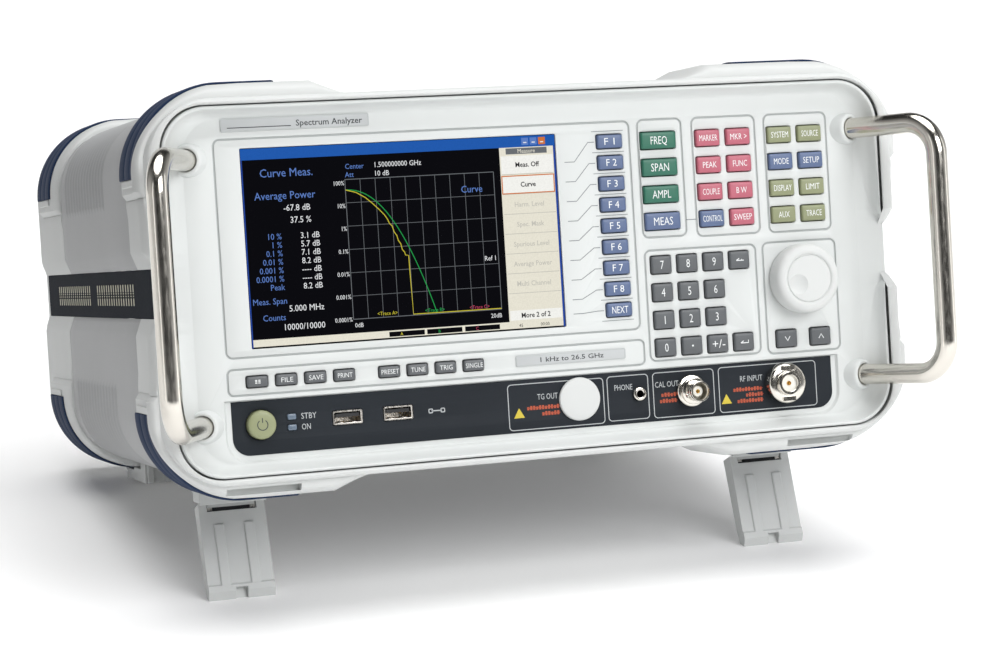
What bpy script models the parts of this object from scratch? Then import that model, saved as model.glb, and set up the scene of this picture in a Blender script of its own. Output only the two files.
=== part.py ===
"""Bench spectrum analyzer with a carry-handle front frame and two tilt legs, as separate pieces.

Lengths are millimetres in the instrument's own frame (X right, Y back, Z up) and MM turns them into
metres. That frame's origin is on the flat of the front panel, at the middle of the front frame. The
instrument leans back on its tilt legs, so its frame is tilted and then set down on the ground at Z = 0.
"""

from math import atan2, cos, pi, radians, sin, tan

import bmesh
import bpy
from mathutils import Matrix, Vector

MM = 0.001
GAP = 0.3
CORNER_STEPS = 6

# Case section: a rounded rectangle with a shallow valley along each side for the dark band.
CASE_HALF_W = 184.0
CASE_HALF_H = 88.3
CASE_RADIUS = 32.0
WALL = 2.6
BAND_Z = 1.0
BAND_HALF_H = 11.5
VALLEY_HALF_H = 19.5
VALLEY_FLOOR_X = 181.0
BAND_THICKNESS = 1.7
BAND_FRONT_Y = 15.0

# Stations along the depth.
RIM_Y = -8.0
FRONT_FRAME_END_Y = 50.0
REAR_FRAME_START_Y = 243.0
REAR_Y = 331.0
REAR_PANEL_Y = 326.0
CAVITY_Y = 8.0
CAVITY_HALF_W = 176.5
CAVITY_HALF_H = 84.0
CAVITY_RADIUS = 27.0

# Corner guards and the rubber strips on them.
GUARD_HALF_W = 186.3
GUARD_HALF_H = 95.0
GUARD_RADIUS = 40.0
GUARD_SIDE_END_Z = 47.5
GUARD_SIDE_FOOT_Z = 44.5
GUARD_TOP_END_X = 104.5
GUARD_TOP_FOOT_X = 90.0
RIGHT_GUARD_EXTRA = 12.0
GUARD_ROOT = 2.0
STRIP_THICKNESS = 1.35
STRIP_SIDE_END_Z = 54.0
STRIP_TOP_END_X = 120.5
FRONT_STRIP_Y = (8.0, 49.5)
REAR_STRIP_Y = (264.0, 306.0)
REAR_GUARD_Y = (244.0, 307.0)

# Front panel.
PANEL_HALF_W = 177.3
PANEL_HALF_H = 83.9
PANEL_RADIUS = 20.5
PANEL_FRONT_Y = -7.0
PANEL_BACK_Y = 4.5
# The dished front, as (Y, how far in from the sides, how far in from the top and bottom).
PANEL_DISH = ((-8.0, 1.4, 1.4), (-7.0, 1.4, 1.4), (-4.2, 2.8, 2.2), (-1.6, 5.4, 3.3), (0.0, 9.4, 4.9))
OPENING_CLEARANCE = 1.0
SCREEN = (-63.9, 19.0, 152.3, 91.0)
STRIP_PLATE = (-1.0, -62.8, 301.2, 25.0)
STRIP_RECESS = 1.2
STRIP_PLATE_BACK_Y = 3.2
STRIP_CORNER = 8.0

# Keys: (first column X, column pitch, columns), (top row Z, row pitch, rows), (width, height).
KEY_FRONT_Y = -1.6
KEY_CLEARANCE = 0.35
WEB_Y = (5.2, 6.2)
WEB_MARGIN = 2.0
BOARD_Y = (8.0, 9.6)
KEY_GRIDS = {
    "soft_keys": ((39.5, 0.0, 1), (59.9, 10.04, 9), (12.7, 6.5)),
    "function_keys": ((64.4, 0.0, 1), (59.3, 12.93, 4), (18.1, 8.1)),
    "marker_keys": ((90.1, 15.9, 2), (59.3, 12.96, 4), (12.4, 7.8)),
    "system_keys": ((127.9, 16.0, 2), (59.2, 12.96, 4), (12.6, 7.7)),
    "file_keys": ((-139.0, 13.73, 4), (-41.6, 0.0, 1), (9.85, 5.05)),
    "preset_keys": ((-76.2, 13.7, 4), (-41.6, 0.0, 1), (9.85, 5.05)),
    "arrow_down_key": ((125.9, 0.0, 1), (-40.15, 0.0, 1), (10.7, 8.4)),
    "arrow_up_key": ((143.9, 0.0, 1), (-40.15, 0.0, 1), (10.7, 8.4)),
}
NUMBER_GRID = ((62.3, 13.58, 4), (-0.35, 13.27, 4), (10.3, 8.4))
NUMBER_KEYS_IN_ROW = (4, 3, 3, 4)

# Controls and sockets on the front.
KNOB_AT = (135.2, -11.4)
KNOB_RADIUS = 16.75
KNOB_HEIGHT = 10.8
KNOB_BORE = 3.0
SHAFT_RADIUS = 2.9
BUSH_RADIUS = 3.6
DIMPLE = (-6.6, -2.3, 4.9, 1.7)
POWER_AT = (-138.3, -61.4)
POWER_RADIUS = 6.65
POWER_FRONT_Y = -3.0
LAMP_AT = (-123.5, -61.4)
LAMP_SIZE = (4.2, 2.7)
LAMP_PITCH = 4.95
USB_AT = {"usb_socket_left": (-97.1, -61.2), "usb_socket_right": (-72.7, -61.1)}
USB_SIZE = (14.1, 6.4)
USB_MOUTH = (12.5, 4.9)
USB_DEPTH = 14.0
BLANK_AT = (17.1, -61.5)
BLANK_RADIUS = 10.3
PHONE_AT = (47.7, -61.4)
CAL_AT = (74.4, -61.9)
RF_AT = (123.2, -61.7)

# Handles.
HANDLE_AT = (165.0, 60.5)
HANDLE_REACH = (23.3, -47.0)
HANDLE_RADIUS = 5.0
HANDLE_BEND = 16.0
BOSS_RADIUS = 8.0
BOSS_LENGTH = 4.0

# Tilt legs and rear feet.
LEG_X = 139.2
LEG_WIDTH = 32.7
LEG_AXIS = (78.0, -97.0)
LEG_LEAN = 18.0
TOE_AT = (61.8, -147.0)
TOE_HALF = 2.6
EAR_THICKNESS = 4.2
PIN_RADIUS = 2.0
PIN_CLEARANCE = 0.1
FOOT_X = 130.5
FOOT_WIDTH = 35.0
FOOT_Y = (283.0, 317.0)
FOOT_FRONT_Y = 232.0
FOOT_FRONT_Z = -99.3
FOOT_REST = (300.0, -104.6)
PAD_TOP_Z = -101.2

# Inside.
FAN_AT = (-112.0, 8.0)
FAN_SIZE = 80.0
FAN_BACK_Y = 325.0
FAN_DEPTH = 25.0
INLET_AT = (140.0, -44.0)
SWITCH_AT = (140.0, -19.0)
ROCKER_SIZE = (18.8, 12.0)
ROCKER_CLEARANCE = 1.8
IO_AT = (28.0, -30.0)
IO_SIZE = (150.0, 62.0)

TILT = atan2(FOOT_REST[1] - TOE_AT[1], FOOT_REST[0] - TOE_AT[0])

for old in list(bpy.data.objects):
    bpy.data.objects.remove(old)

PARTS = bpy.data.collections.new("spectrum_analyzer")
CUTTERS = bpy.data.collections.new("cutters")
bpy.context.scene.collection.children.link(PARTS)
bpy.context.scene.collection.children.link(CUTTERS)

ROOT = bpy.data.objects.new("instrument", None)
PARTS.objects.link(ROOT)
ROOT.rotation_euler = (-TILT, 0.0, 0.0)


# Materials


def material(name, colour, roughness, metallic=0.0):
    made = bpy.data.materials.new(name)
    made.use_nodes = True
    shader = made.node_tree.nodes["Principled BSDF"]
    shader.inputs["Base Color"].default_value = (*colour, 1.0)
    shader.inputs["Roughness"].default_value = roughness
    shader.inputs["Metallic"].default_value = metallic
    return made


LIGHT_GREY = material("light_grey_plastic", (0.77, 0.79, 0.78), 0.42)
COVER_GREY = material("cover_grey_plastic", (0.60, 0.61, 0.61), 0.48)
NAVY = material("navy_rubber", (0.02, 0.04, 0.09), 0.45)
CHARCOAL = material("charcoal_plastic", (0.03, 0.035, 0.04), 0.55)
KEY_BLUE = material("blue_key", (0.13, 0.19, 0.37), 0.45)
KEY_GREEN = material("green_key", (0.03, 0.19, 0.12), 0.45)
KEY_PINK = material("pink_key", (0.58, 0.12, 0.20), 0.45)
KEY_OLIVE = material("olive_key", (0.30, 0.33, 0.16), 0.45)
KEY_GREY = material("grey_key", (0.13, 0.14, 0.15), 0.5)
NICKEL = material("satin_nickel", (0.62, 0.59, 0.54), 0.25, 1.0)
BLACK = material("black_rubber", (0.015, 0.015, 0.016), 0.7)
GLASS = material("screen_glass", (0.02, 0.03, 0.05), 0.12)
SHEET = material("zinc_sheet", (0.55, 0.56, 0.58), 0.4, 1.0)
BOARD = material("circuit_board", (0.02, 0.16, 0.08), 0.5)
BLACK_PLASTIC = material("black_plastic", (0.02, 0.02, 0.022), 0.45)
LABEL = material("silver_label", (0.62, 0.63, 0.63), 0.35, 0.4)


# Shape helpers


def linked(name, mesh, finish, collection=PARTS):
    made = bpy.data.objects.new(name, mesh)
    collection.objects.link(made)
    made.parent = ROOT
    if finish:
        mesh.materials.clear()
        mesh.materials.append(finish)
    mesh.shade_smooth()
    mesh.set_sharp_from_angle(angle=radians(35))
    if collection == CUTTERS:
        made.hide_render = True
        made.display_type = "WIRE"
    return made


def body(name, bm, finish, collection=PARTS):
    """An object from a bmesh in millimetres, which it scales to metres and frees."""
    bmesh.ops.scale(bm, vec=(MM, MM, MM), verts=bm.verts)
    bmesh.ops.recalc_face_normals(bm, faces=bm.faces)
    mesh = bpy.data.meshes.new(name)
    bm.to_mesh(mesh)
    bm.free()
    return linked(name, mesh, finish, collection)


def cutter(name, bm):
    return body(name, bm, None, CUTTERS)


def add_box(bm, low, high):
    size = Vector(high) - Vector(low)
    place = Matrix.Translation((Vector(high) + Vector(low)) / 2) @ Matrix.Diagonal((*size, 1))
    bmesh.ops.create_cube(bm, size=1.0, matrix=place)


def boxes(*spans):
    bm = bmesh.new()
    for low, high in spans:
        add_box(bm, low, high)
    return bm


def add_round(bm, start, end, radius, segments=24):
    """A cylinder between two points."""
    start, end = Vector(start), Vector(end)
    turn = (end - start).to_track_quat("Z", "Y").to_matrix().to_4x4()
    place = Matrix.Translation((start + end) / 2) @ turn
    bmesh.ops.create_cone(bm, cap_ends=True, segments=segments, radius1=radius, radius2=radius,
                          depth=(end - start).length, matrix=place)


def rounds(*runs, segments=24):
    bm = bmesh.new()
    for start, end, radius in runs:
        add_round(bm, start, end, radius, segments)
    return bm


def combined(target, other, operation):
    made = target.modifiers.new(other.name, "BOOLEAN")
    made.operation = operation
    made.object = other
    made.solver = "EXACT"


def cut(target, other):
    combined(target, other, "DIFFERENCE")


def join(target, other):
    combined(target, other, "UNION")


def softened(target, width, segments=1, angle=40):
    made = target.modifiers.new("Edges", "BEVEL")
    made.width = width * MM
    made.segments = segments
    made.limit_method = "ANGLE"
    made.angle_limit = radians(angle)
    made.use_clamp_overlap = True


def pivot(target, point):
    """Puts the object's own origin on its joint's axis."""
    offset = Vector(point) * MM
    target.data.transform(Matrix.Translation(-offset))
    target.location = offset


def loft(sections):
    """A closed body through outlines of equal point counts, each (Y, points in X and Z)."""
    bm = bmesh.new()
    rings = []
    for y, points in sections:
        rings.append([bm.verts.new((x, y, z)) for x, z in points])
    for near, far in zip(rings, rings[1:]):
        for i in range(len(near)):
            j = (i + 1) % len(near)
            bm.faces.new((near[i], near[j], far[j], far[i]))
    bm.faces.new(rings[0])
    bm.faces.new(rings[-1])
    return bm


def plate(name, outlines, low, high, finish, axis="Y", collection=PARTS):
    """A flat plate: closed outlines filled, holes left open, between low and high along an axis."""
    curve = bpy.data.curves.new(name, "CURVE")
    curve.dimensions = "2D"
    curve.fill_mode = "BOTH"
    curve.extrude = (high - low) / 2
    for points in outlines:
        spline = curve.splines.new("POLY")
        spline.points.add(len(points) - 1)
        for knot, (u, v) in zip(spline.points, points):
            knot.co = (u, v, 0.0, 1.0)
        spline.use_cyclic_u = True
    flat = bpy.data.objects.new(name, curve)
    CUTTERS.objects.link(flat)
    bpy.context.view_layer.update()
    mesh = bpy.data.meshes.new_from_object(flat.evaluated_get(bpy.context.evaluated_depsgraph_get()))
    bpy.data.objects.remove(flat)
    middle = (low + high) / 2
    turns = {
        "X": Matrix(((0, 0, 1, middle), (1, 0, 0, 0), (0, 1, 0, 0), (0, 0, 0, 1))),
        "Y": Matrix(((1, 0, 0, 0), (0, 0, -1, middle), (0, 1, 0, 0), (0, 0, 0, 1))),
        "Z": Matrix.Translation((0, 0, middle)),
    }
    bm = bmesh.new()
    bm.from_mesh(mesh)
    bmesh.ops.remove_doubles(bm, verts=bm.verts, dist=1e-4)
    bmesh.ops.transform(bm, matrix=turns[axis], verts=bm.verts)
    return body(name, bm, finish, collection)


def turned(name, profile, at, finish, segments=24, collection=PARTS):
    """A turned piece facing the front; the profile is (radius, height towards the front)."""
    mesh = bpy.data.meshes.new(name)
    points = [(radius * MM, 0.0, height * MM) for radius, height in profile]
    mesh.from_pydata(points, [(i, i + 1) for i in range(len(points) - 1)], [])
    made = linked(name, mesh, finish, collection)
    made.rotation_euler = (pi / 2, 0.0, 0.0)
    made.location = (at[0] * MM, at[1] * MM, at[2] * MM)
    screw = made.modifiers.new("Turn", "SCREW")
    screw.axis = "Z"
    screw.angle = 2 * pi
    screw.screw_offset = 0.0
    screw.steps = segments
    screw.render_steps = segments
    screw.use_merge_vertices = True
    screw.merge_threshold = 1e-6
    return made


def tube(name, points, radius, finish, resolution=2):
    """A bent tube with capped ends."""
    curve = bpy.data.curves.new(name, "CURVE")
    curve.dimensions = "3D"
    curve.bevel_depth = radius * MM
    curve.bevel_resolution = resolution
    curve.use_fill_caps = True
    spline = curve.splines.new("POLY")
    spline.points.add(len(points) - 1)
    for knot, point in zip(spline.points, points):
        knot.co = (*(Vector(point) * MM), 1.0)
    made = bpy.data.objects.new(name, curve)
    curve.materials.append(finish)
    PARTS.objects.link(made)
    made.parent = ROOT
    return made


# Outlines in X and Z


def arc(centre, radius, start, end, steps=CORNER_STEPS):
    angles = [radians(start + (end - start) * i / steps) for i in range(steps + 1)]
    return [(centre[0] + radius * cos(a), centre[1] + radius * sin(a)) for a in angles]


def rounded(half_w, half_h, radius, at=(0.0, 0.0), steps=CORNER_STEPS):
    points = []
    for sx, sz, start in ((1, 1, 0), (-1, 1, 90), (-1, -1, 180), (1, -1, 270)):
        centre = (at[0] + sx * (half_w - radius), at[1] + sz * (half_h - radius))
        points += arc(centre, radius, start, start + 90, steps)
    return points


def case_outline(half_w, half_h, radius):
    """The case's section, with its two side valleys."""
    floor = min(VALLEY_FLOOR_X, half_w - 0.05)
    valley = (
        (half_w, BAND_Z - VALLEY_HALF_H),
        (floor, BAND_Z - BAND_HALF_H),
        (floor, BAND_Z + BAND_HALF_H),
        (half_w, BAND_Z + VALLEY_HALF_H),
    )
    corners = rounded(half_w, half_h, radius)
    count = CORNER_STEPS + 1
    left = [(-x, z) for x, z in reversed(valley)]
    return list(valley) + corners[: 2 * count] + left + corners[2 * count:]


def corner_band(sx, sz, outer, inner, side_ends, top_ends):
    """A strip round one corner: outer and inner are (half width, half height, radius).

    side_ends and top_ends are (outer end, inner end) distances from the middle.
    """
    half_w, half_h, radius = outer
    in_w, in_h, in_radius = inner
    points = [(in_w, side_ends[1]), (half_w, side_ends[0])]
    points += arc((half_w - radius, half_h - radius), radius, 0, 90)
    points += [(top_ends[0], half_h), (top_ends[1], in_h)]
    points += arc((in_w - in_radius, in_h - in_radius), in_radius, 90, 0)
    return [(sx * x, sz * z) for x, z in points]


CORNERS = {"top_left": (-1, 1), "top_right": (1, 1), "bottom_left": (-1, -1), "bottom_right": (1, -1)}


# Frames and covers


def band_grooves(name, start):
    deep = VALLEY_FLOOR_X - BAND_THICKNESS - GAP
    low, high = BAND_Z - BAND_HALF_H + 0.1, BAND_Z + BAND_HALF_H - 0.1
    far = REAR_Y + 5
    return cutter(name, boxes(
        ((deep, start, low), (CASE_HALF_W + 5, far, high)),
        ((-CASE_HALF_W - 5, start, low), (-deep, far, high)),
    ))


def guard_outline(sx, sz, drop):
    """The guard's outline, lowered by drop for its rounded front edge."""
    root = (CASE_HALF_W - GUARD_ROOT, CASE_HALF_H - GUARD_ROOT, CASE_RADIUS)
    half_w = GUARD_HALF_W - drop * 0.45
    half_h = GUARD_HALF_H - drop
    side = (GUARD_SIDE_END_Z, GUARD_SIDE_FOOT_Z - GUARD_ROOT)
    extra = RIGHT_GUARD_EXTRA if sx > 0 else 0.0
    top = (GUARD_TOP_END_X - extra, GUARD_TOP_FOOT_X - extra - GUARD_ROOT)
    return corner_band(sx, sz, (half_w, half_h, GUARD_RADIUS - drop), root, side, top)


def add_guards(frame, stations):
    for corner, (sx, sz) in CORNERS.items():
        sections = [(y, guard_outline(sx, sz, drop)) for y, drop in stations]
        join(frame, cutter(f"{frame.name}_guard_{corner}", loft(sections)))


def front_frame():
    stations = (
        (RIM_Y, 179.9, 86.4, 23.0),
        (RIM_Y + 0.9, 181.0, 87.5, 25.0),
        (-4.0, 181.8, 88.0, 28.0),
        (-0.5, 183.2, 88.2, 31.0),
        (3.5, CASE_HALF_W, CASE_HALF_H, CASE_RADIUS),
        (FRONT_FRAME_END_Y, CASE_HALF_W, CASE_HALF_H, CASE_RADIUS),
    )
    frame = body("front_frame", loft([(y, case_outline(w, h, r)) for y, w, h, r in stations]), LIGHT_GREY)
    add_guards(frame, ((-3.5, 5.6), (0.5, 3.0), (4.0, 0.8), (7.0, 0.0), (FRONT_FRAME_END_Y, 0.0)))
    mouth = rounded(PANEL_HALF_W + OPENING_CLEARANCE, PANEL_HALF_H + OPENING_CLEARANCE, PANEL_RADIUS + 0.5)
    cut(frame, cutter("frame_mouth", loft([(RIM_Y - 2, mouth), (CAVITY_Y, mouth)])))
    cavity = rounded(CAVITY_HALF_W, CAVITY_HALF_H, CAVITY_RADIUS)
    cut(frame, cutter("frame_cavity", loft([(CAVITY_Y - 1, cavity), (FRONT_FRAME_END_Y + 2, cavity)])))
    cut(frame, band_grooves("frame_grooves", BAND_FRONT_Y))
    return frame


def rear_frame():
    stations = (
        (REAR_FRAME_START_Y, CASE_HALF_W, CASE_HALF_H, CASE_RADIUS),
        (REAR_Y - 6, CASE_HALF_W, CASE_HALF_H, CASE_RADIUS),
        (REAR_Y - 1.5, CASE_HALF_W - 1.8, CASE_HALF_H - 1.6, CASE_RADIUS - 1.5),
        (REAR_Y, CASE_HALF_W - 4.5, CASE_HALF_H - 3.2, CASE_RADIUS - 3.0),
    )
    frame = body("rear_frame", loft([(y, case_outline(w, h, r)) for y, w, h, r in stations]), LIGHT_GREY)
    start, end = REAR_GUARD_Y
    add_guards(frame, ((start, 5.0), (start + 4, 1.4), (start + 8, 0.0), (end, 0.0)))
    cavity = rounded(CAVITY_HALF_W, CAVITY_HALF_H, CAVITY_RADIUS)
    cut(frame, cutter("rear_cavity", loft([(REAR_FRAME_START_Y - 2, cavity), (REAR_Y + 2, cavity)])))
    cut(frame, band_grooves("rear_grooves", REAR_FRAME_START_Y - 2))
    return frame


def cover(name, side):
    """Half of the wrap-round case, above (side 1) or below (side -1) the dark bands."""
    floor_z = BAND_Z + side * (BAND_HALF_H + GAP)
    facet_z = BAND_Z + side * VALLEY_HALF_H
    right = [(VALLEY_FLOOR_X, floor_z), (CASE_HALF_W, facet_z)]
    centre = (CASE_HALF_W - CASE_RADIUS, side * (CASE_HALF_H - CASE_RADIUS))
    right += arc(centre, CASE_RADIUS, 0, side * 90)
    path = right + [(-x, z) for x, z in reversed(right)]
    start, end = FRONT_FRAME_END_Y + GAP, REAR_FRAME_START_Y - GAP
    bm = bmesh.new()
    near = [bm.verts.new((x, start, z)) for x, z in path]
    edges = [bm.edges.new(pair) for pair in zip(near, near[1:])]
    swept = bmesh.ops.extrude_edge_only(bm, edges=edges)["geom"]
    moved = [item for item in swept if isinstance(item, bmesh.types.BMVert)]
    bmesh.ops.translate(bm, vec=(0, end - start, 0), verts=moved)
    made = body(name, bm, COVER_GREY)
    skin = made.modifiers.new("Wall", "SOLIDIFY")
    skin.thickness = WALL * MM
    skin.offset = -1.0
    skin.use_even_offset = True
    return made


def side_band(name, side):
    low, high = BAND_Z - BAND_HALF_H + 0.4, BAND_Z + BAND_HALF_H - 0.4
    inner, outer = sorted((side * (VALLEY_FLOOR_X - BAND_THICKNESS), side * VALLEY_FLOOR_X))
    made = body(name, boxes(((inner, BAND_FRONT_Y + GAP, low), (outer, REAR_Y - 6, high))), CHARCOAL)
    softened(made, 0.3)
    return made


def bumper(name, corner, depths):
    sx, sz = corner
    lift = STRIP_THICKNESS
    outer = (GUARD_HALF_W + lift, GUARD_HALF_H + lift, GUARD_RADIUS + lift)
    inner = (GUARD_HALF_W + GAP, GUARD_HALF_H + GAP, GUARD_RADIUS + GAP)
    side = (STRIP_SIDE_END_Z, STRIP_SIDE_END_Z)
    end = STRIP_TOP_END_X - (RIGHT_GUARD_EXTRA if sx > 0 else 0.0)
    top = (end, end)
    outline = corner_band(sx, sz, outer, inner, side, top)
    return plate(name, [outline], depths[0], depths[1], NAVY)


# Front panel and what it carries


def key_centres():
    """Every key group's centres and key size, by name."""
    groups = {}
    for name, (columns, rows, size) in KEY_GRIDS.items():
        centres = [
            (columns[0] + i * columns[1], rows[0] - j * rows[1])
            for j in range(rows[2])
            for i in range(columns[2])
        ]
        groups[name] = (centres, size)
    columns, rows, size = NUMBER_GRID
    centres = [
        (columns[0] + i * columns[1], rows[0] - j * rows[1])
        for j, count in enumerate(NUMBER_KEYS_IN_ROW)
        for i in range(count)
    ]
    groups["number_keys"] = (centres, size)
    return groups


def span(at, size, y, grow=0.0):
    """The corners of a box round a point of the panel, from y[0] to y[1]."""
    half_w, half_h = size[0] / 2 + grow, size[1] / 2 + grow
    low = (at[0] - half_w, y[0], at[1] - half_h)
    return low, (at[0] + half_w, y[1], at[1] + half_h)


def handle_directions():
    """Each handle leg's foot on the panel and its direction outward."""
    for side in (-1, 1):
        for level in (-1, 1):
            foot = Vector((side * HANDLE_AT[0], 0.0, level * HANDLE_AT[1]))
            yield foot, Vector((side * HANDLE_REACH[0], HANDLE_REACH[1], 0.0)).normalized()


def strip_outline(grow, top_grow=None):
    """The connector strip's outline, with square top corners and round bottom ones."""
    top_grow = grow if top_grow is None else top_grow
    x, z, width, height = STRIP_PLATE
    half_w, low, high = width / 2 + grow, z - height / 2 - grow, z + height / 2 + top_grow
    radius = STRIP_CORNER + grow
    points = [(x + half_w, high), (x - half_w, high)]
    points += arc((x - half_w + radius, low + radius), radius, 180, 270)
    points += arc((x + half_w - radius, low + radius), radius, 270, 360)
    return points


def front_panel(groups):
    rim = rounded(PANEL_HALF_W, PANEL_HALF_H, PANEL_RADIUS)
    panel = body("front_panel", loft([(PANEL_FRONT_Y, rim), (PANEL_BACK_Y, rim)]), LIGHT_GREY)
    dish = []
    for y, inset_w, inset_h in PANEL_DISH:
        half_w, half_h = PANEL_HALF_W - inset_w, PANEL_HALF_H - inset_h
        dish.append((y, rounded(half_w, half_h, PANEL_RADIUS - inset_h / 2)))
    cut(panel, cutter("panel_dish", loft(dish)))
    recess = [(-0.2, strip_outline(4.2, 0.4)), (STRIP_RECESS, strip_outline(0.4))]
    recess.append((PANEL_BACK_Y + 1, strip_outline(0.4)))
    cut(panel, cutter("panel_strip_recess", loft(recess)))
    through = (PANEL_FRONT_Y - 1, PANEL_BACK_Y + 1)
    holes = [span(SCREEN[:2], SCREEN[2:], through, KEY_CLEARANCE)]
    for centres, size in groups.values():
        holes += [span(at, size, through, KEY_CLEARANCE) for at in centres]
    cut(panel, cutter("panel_holes", boxes(*holes)))
    bosses, bores = [], []
    for foot, out in handle_directions():
        bosses.append((foot - out * 1.5, foot + out * BOSS_LENGTH, BOSS_RADIUS))
        bores.append((foot - out * 8, foot + out * 8, HANDLE_RADIUS + GAP))
    join(panel, cutter("panel_bosses", rounds(*bosses)))
    x, z = KNOB_AT
    bores.append(((x, -2, z), (x, PANEL_BACK_Y + 1, z), BUSH_RADIUS + GAP))
    cut(panel, cutter("panel_bores", rounds(*bores)))
    return panel


def connector_strip():
    strip = plate("connector_strip", [strip_outline(0.0)], STRIP_RECESS, STRIP_PLATE_BACK_Y, CHARCOAL)
    through = (0.0, STRIP_PLATE_BACK_Y + 1)
    holes = [span(at, USB_SIZE, through, GAP) for at in USB_AT.values()]
    for level in (-0.5, 0.5):
        at = (LAMP_AT[0], LAMP_AT[1] + level * LAMP_PITCH)
        holes.append(span(at, LAMP_SIZE, through, GAP))
    cut(strip, cutter("strip_slots", boxes(*holes)))
    bores = []
    round_holes = (
        (POWER_AT, POWER_RADIUS + 0.4), (BLANK_AT, 8.3), (PHONE_AT, 3.1), (CAL_AT, 5.1), (RF_AT, 6.3),
    )
    for at, radius in round_holes:
        bores.append(((at[0], 0.0, at[1]), (at[0], STRIP_PLATE_BACK_Y + 1, at[1]), radius))
    cut(strip, cutter("strip_bores", rounds(*bores)))
    return strip


def key_mat(name, centres, size, finish):
    """A silicone mat: keys standing on one web behind the panel."""
    xs = [x for x, _ in centres]
    zs = [z for _, z in centres]
    half_w, half_h = size[0] / 2 + WEB_MARGIN, size[1] / 2 + WEB_MARGIN
    web = ((min(xs) - half_w, WEB_Y[0], min(zs) - half_h), (max(xs) + half_w, WEB_Y[1], max(zs) + half_h))
    mat = body(name, boxes(web), finish)
    middle = (WEB_Y[0] + WEB_Y[1]) / 2
    keys = boxes(*[span(at, size, (KEY_FRONT_Y, middle)) for at in centres])
    join(mat, cutter(f"{name}_tops", keys))
    return mat


def knob():
    top = KNOB_HEIGHT
    profile = (
        (0.0, top), (13.2, top - 0.2), (13.7, top - 0.6), (14.2, top - 0.2), (15.6, top - 1.0),
        (16.4, top - 2.6), (KNOB_RADIUS, 2.0), (KNOB_RADIUS, 0.5), (KNOB_BORE, 0.5),
        (KNOB_BORE, 8.0), (0.0, 8.0),
    )
    made = turned("tuning_knob", profile, (KNOB_AT[0], 0.0, KNOB_AT[1]), LIGHT_GREY, 36)
    dx, dz, radius, depth = DIMPLE
    ball = (radius * radius + depth * depth) / (2 * depth)
    bm = bmesh.new()
    place = Matrix.Translation((KNOB_AT[0] + dx, -top - ball + depth, KNOB_AT[1] + dz))
    bmesh.ops.create_uvsphere(bm, u_segments=16, v_segments=12, radius=ball, matrix=place)
    cut(made, cutter("knob_dimple", bm))
    return made


def encoder():
    profile = (
        (0.0, 7.6), (SHAFT_RADIUS, 7.6), (SHAFT_RADIUS, 0.0), (BUSH_RADIUS, 0.0), (BUSH_RADIUS, -11.0),
        (0.0, -11.0),
    )
    made = turned("knob_encoder", profile, (KNOB_AT[0], 0.0, KNOB_AT[1]), SHEET, 16)
    join(made, cutter("encoder_case", boxes(span(KNOB_AT, (13.0, 13.0), (BOARD_Y[1] + GAP, 18.0)))))
    return made


def power_button():
    top = -POWER_FRONT_Y
    radius = POWER_RADIUS
    profile = (
        (0.0, top), (radius - 0.7, top), (radius, top - 0.7), (radius, -4.2), (radius + 1.2, -4.2),
        (radius + 1.2, -5.4), (0.0, -5.4),
    )
    return turned("power_button", profile, (POWER_AT[0], 0.0, POWER_AT[1]), KEY_OLIVE, 28)


def status_lamps():
    """Two light pipes on one moulding behind the strip."""
    whole = (LAMP_SIZE[0] + 1.5, LAMP_SIZE[1] + LAMP_PITCH + 1.5)
    made = body("status_lamps", boxes(span(LAMP_AT, whole, (3.6, 5.0))), GLASS)
    pipes = []
    for level in (-0.5, 0.5):
        at = (LAMP_AT[0], LAMP_AT[1] + level * LAMP_PITCH)
        pipes.append(span(at, LAMP_SIZE, (STRIP_RECESS - 0.3, 4.3)))
    join(made, cutter("lamp_pipes", boxes(*pipes)))
    return made


def usb_socket(name, at):
    front = STRIP_RECESS - 0.4
    made = body(name, boxes(span(at, USB_SIZE, (front, front + USB_DEPTH))), SHEET)
    cut(made, cutter(f"{name}_mouth", boxes(span(at, USB_MOUTH, (front - 1, front + USB_DEPTH - 2)))))
    tongue = span((at[0], at[1] + 0.95), (11.2, 1.8), (front + 0.8, front + USB_DEPTH - 1))
    join(made, cutter(f"{name}_tongue", boxes(tongue)))
    return made


def connector(name, at, profile, finish=NICKEL, segments=24):
    return turned(name, profile, (at[0], STRIP_RECESS - GAP, at[1]), finish, segments)


def front_connectors():
    connector("blank_cap", BLANK_AT, (
        (0.0, 1.5), (9.6, 1.5), (BLANK_RADIUS, 0.9), (BLANK_RADIUS, 0.0), (7.6, 0.0), (7.6, -4.0),
        (0.0, -4.0),
    ), LIGHT_GREY, 28)
    connector("phone_jack", PHONE_AT, (
        (1.8, 1.6), (2.9, 1.6), (3.3, 1.2), (3.3, 0.0), (2.8, 0.0), (2.8, -12.0), (0.0, -12.0),
        (0.0, -10.0), (1.8, -10.0), (1.8, 1.6),
    ), NICKEL, 16)
    connector("cal_connector", CAL_AT, (
        (4.05, 12.5), (4.85, 12.5), (4.85, 5.2), (6.3, 4.6), (6.3, 2.4), (7.5, 2.0), (7.5, 0.0),
        (4.8, 0.0), (4.8, -9.0), (0.0, -9.0), (0.0, 8.2), (0.5, 8.2), (0.5, 6.6), (2.4, 6.6),
        (2.4, 3.0), (4.05, 3.0), (4.05, 12.5),
    ), NICKEL, 24)
    connector("rf_connector", RF_AT, (
        (4.1, 9.6), (6.2, 9.6), (6.5, 9.2), (6.5, 3.8), (9.3, 3.4), (9.75, 2.8), (9.75, 0.0),
        (6.0, 0.0), (6.0, -10.0), (0.0, -10.0), (0.0, 5.6), (1.1, 5.6), (1.1, 7.6), (4.1, 7.6), (4.1, 9.6),
    ), NICKEL, 28)


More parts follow.
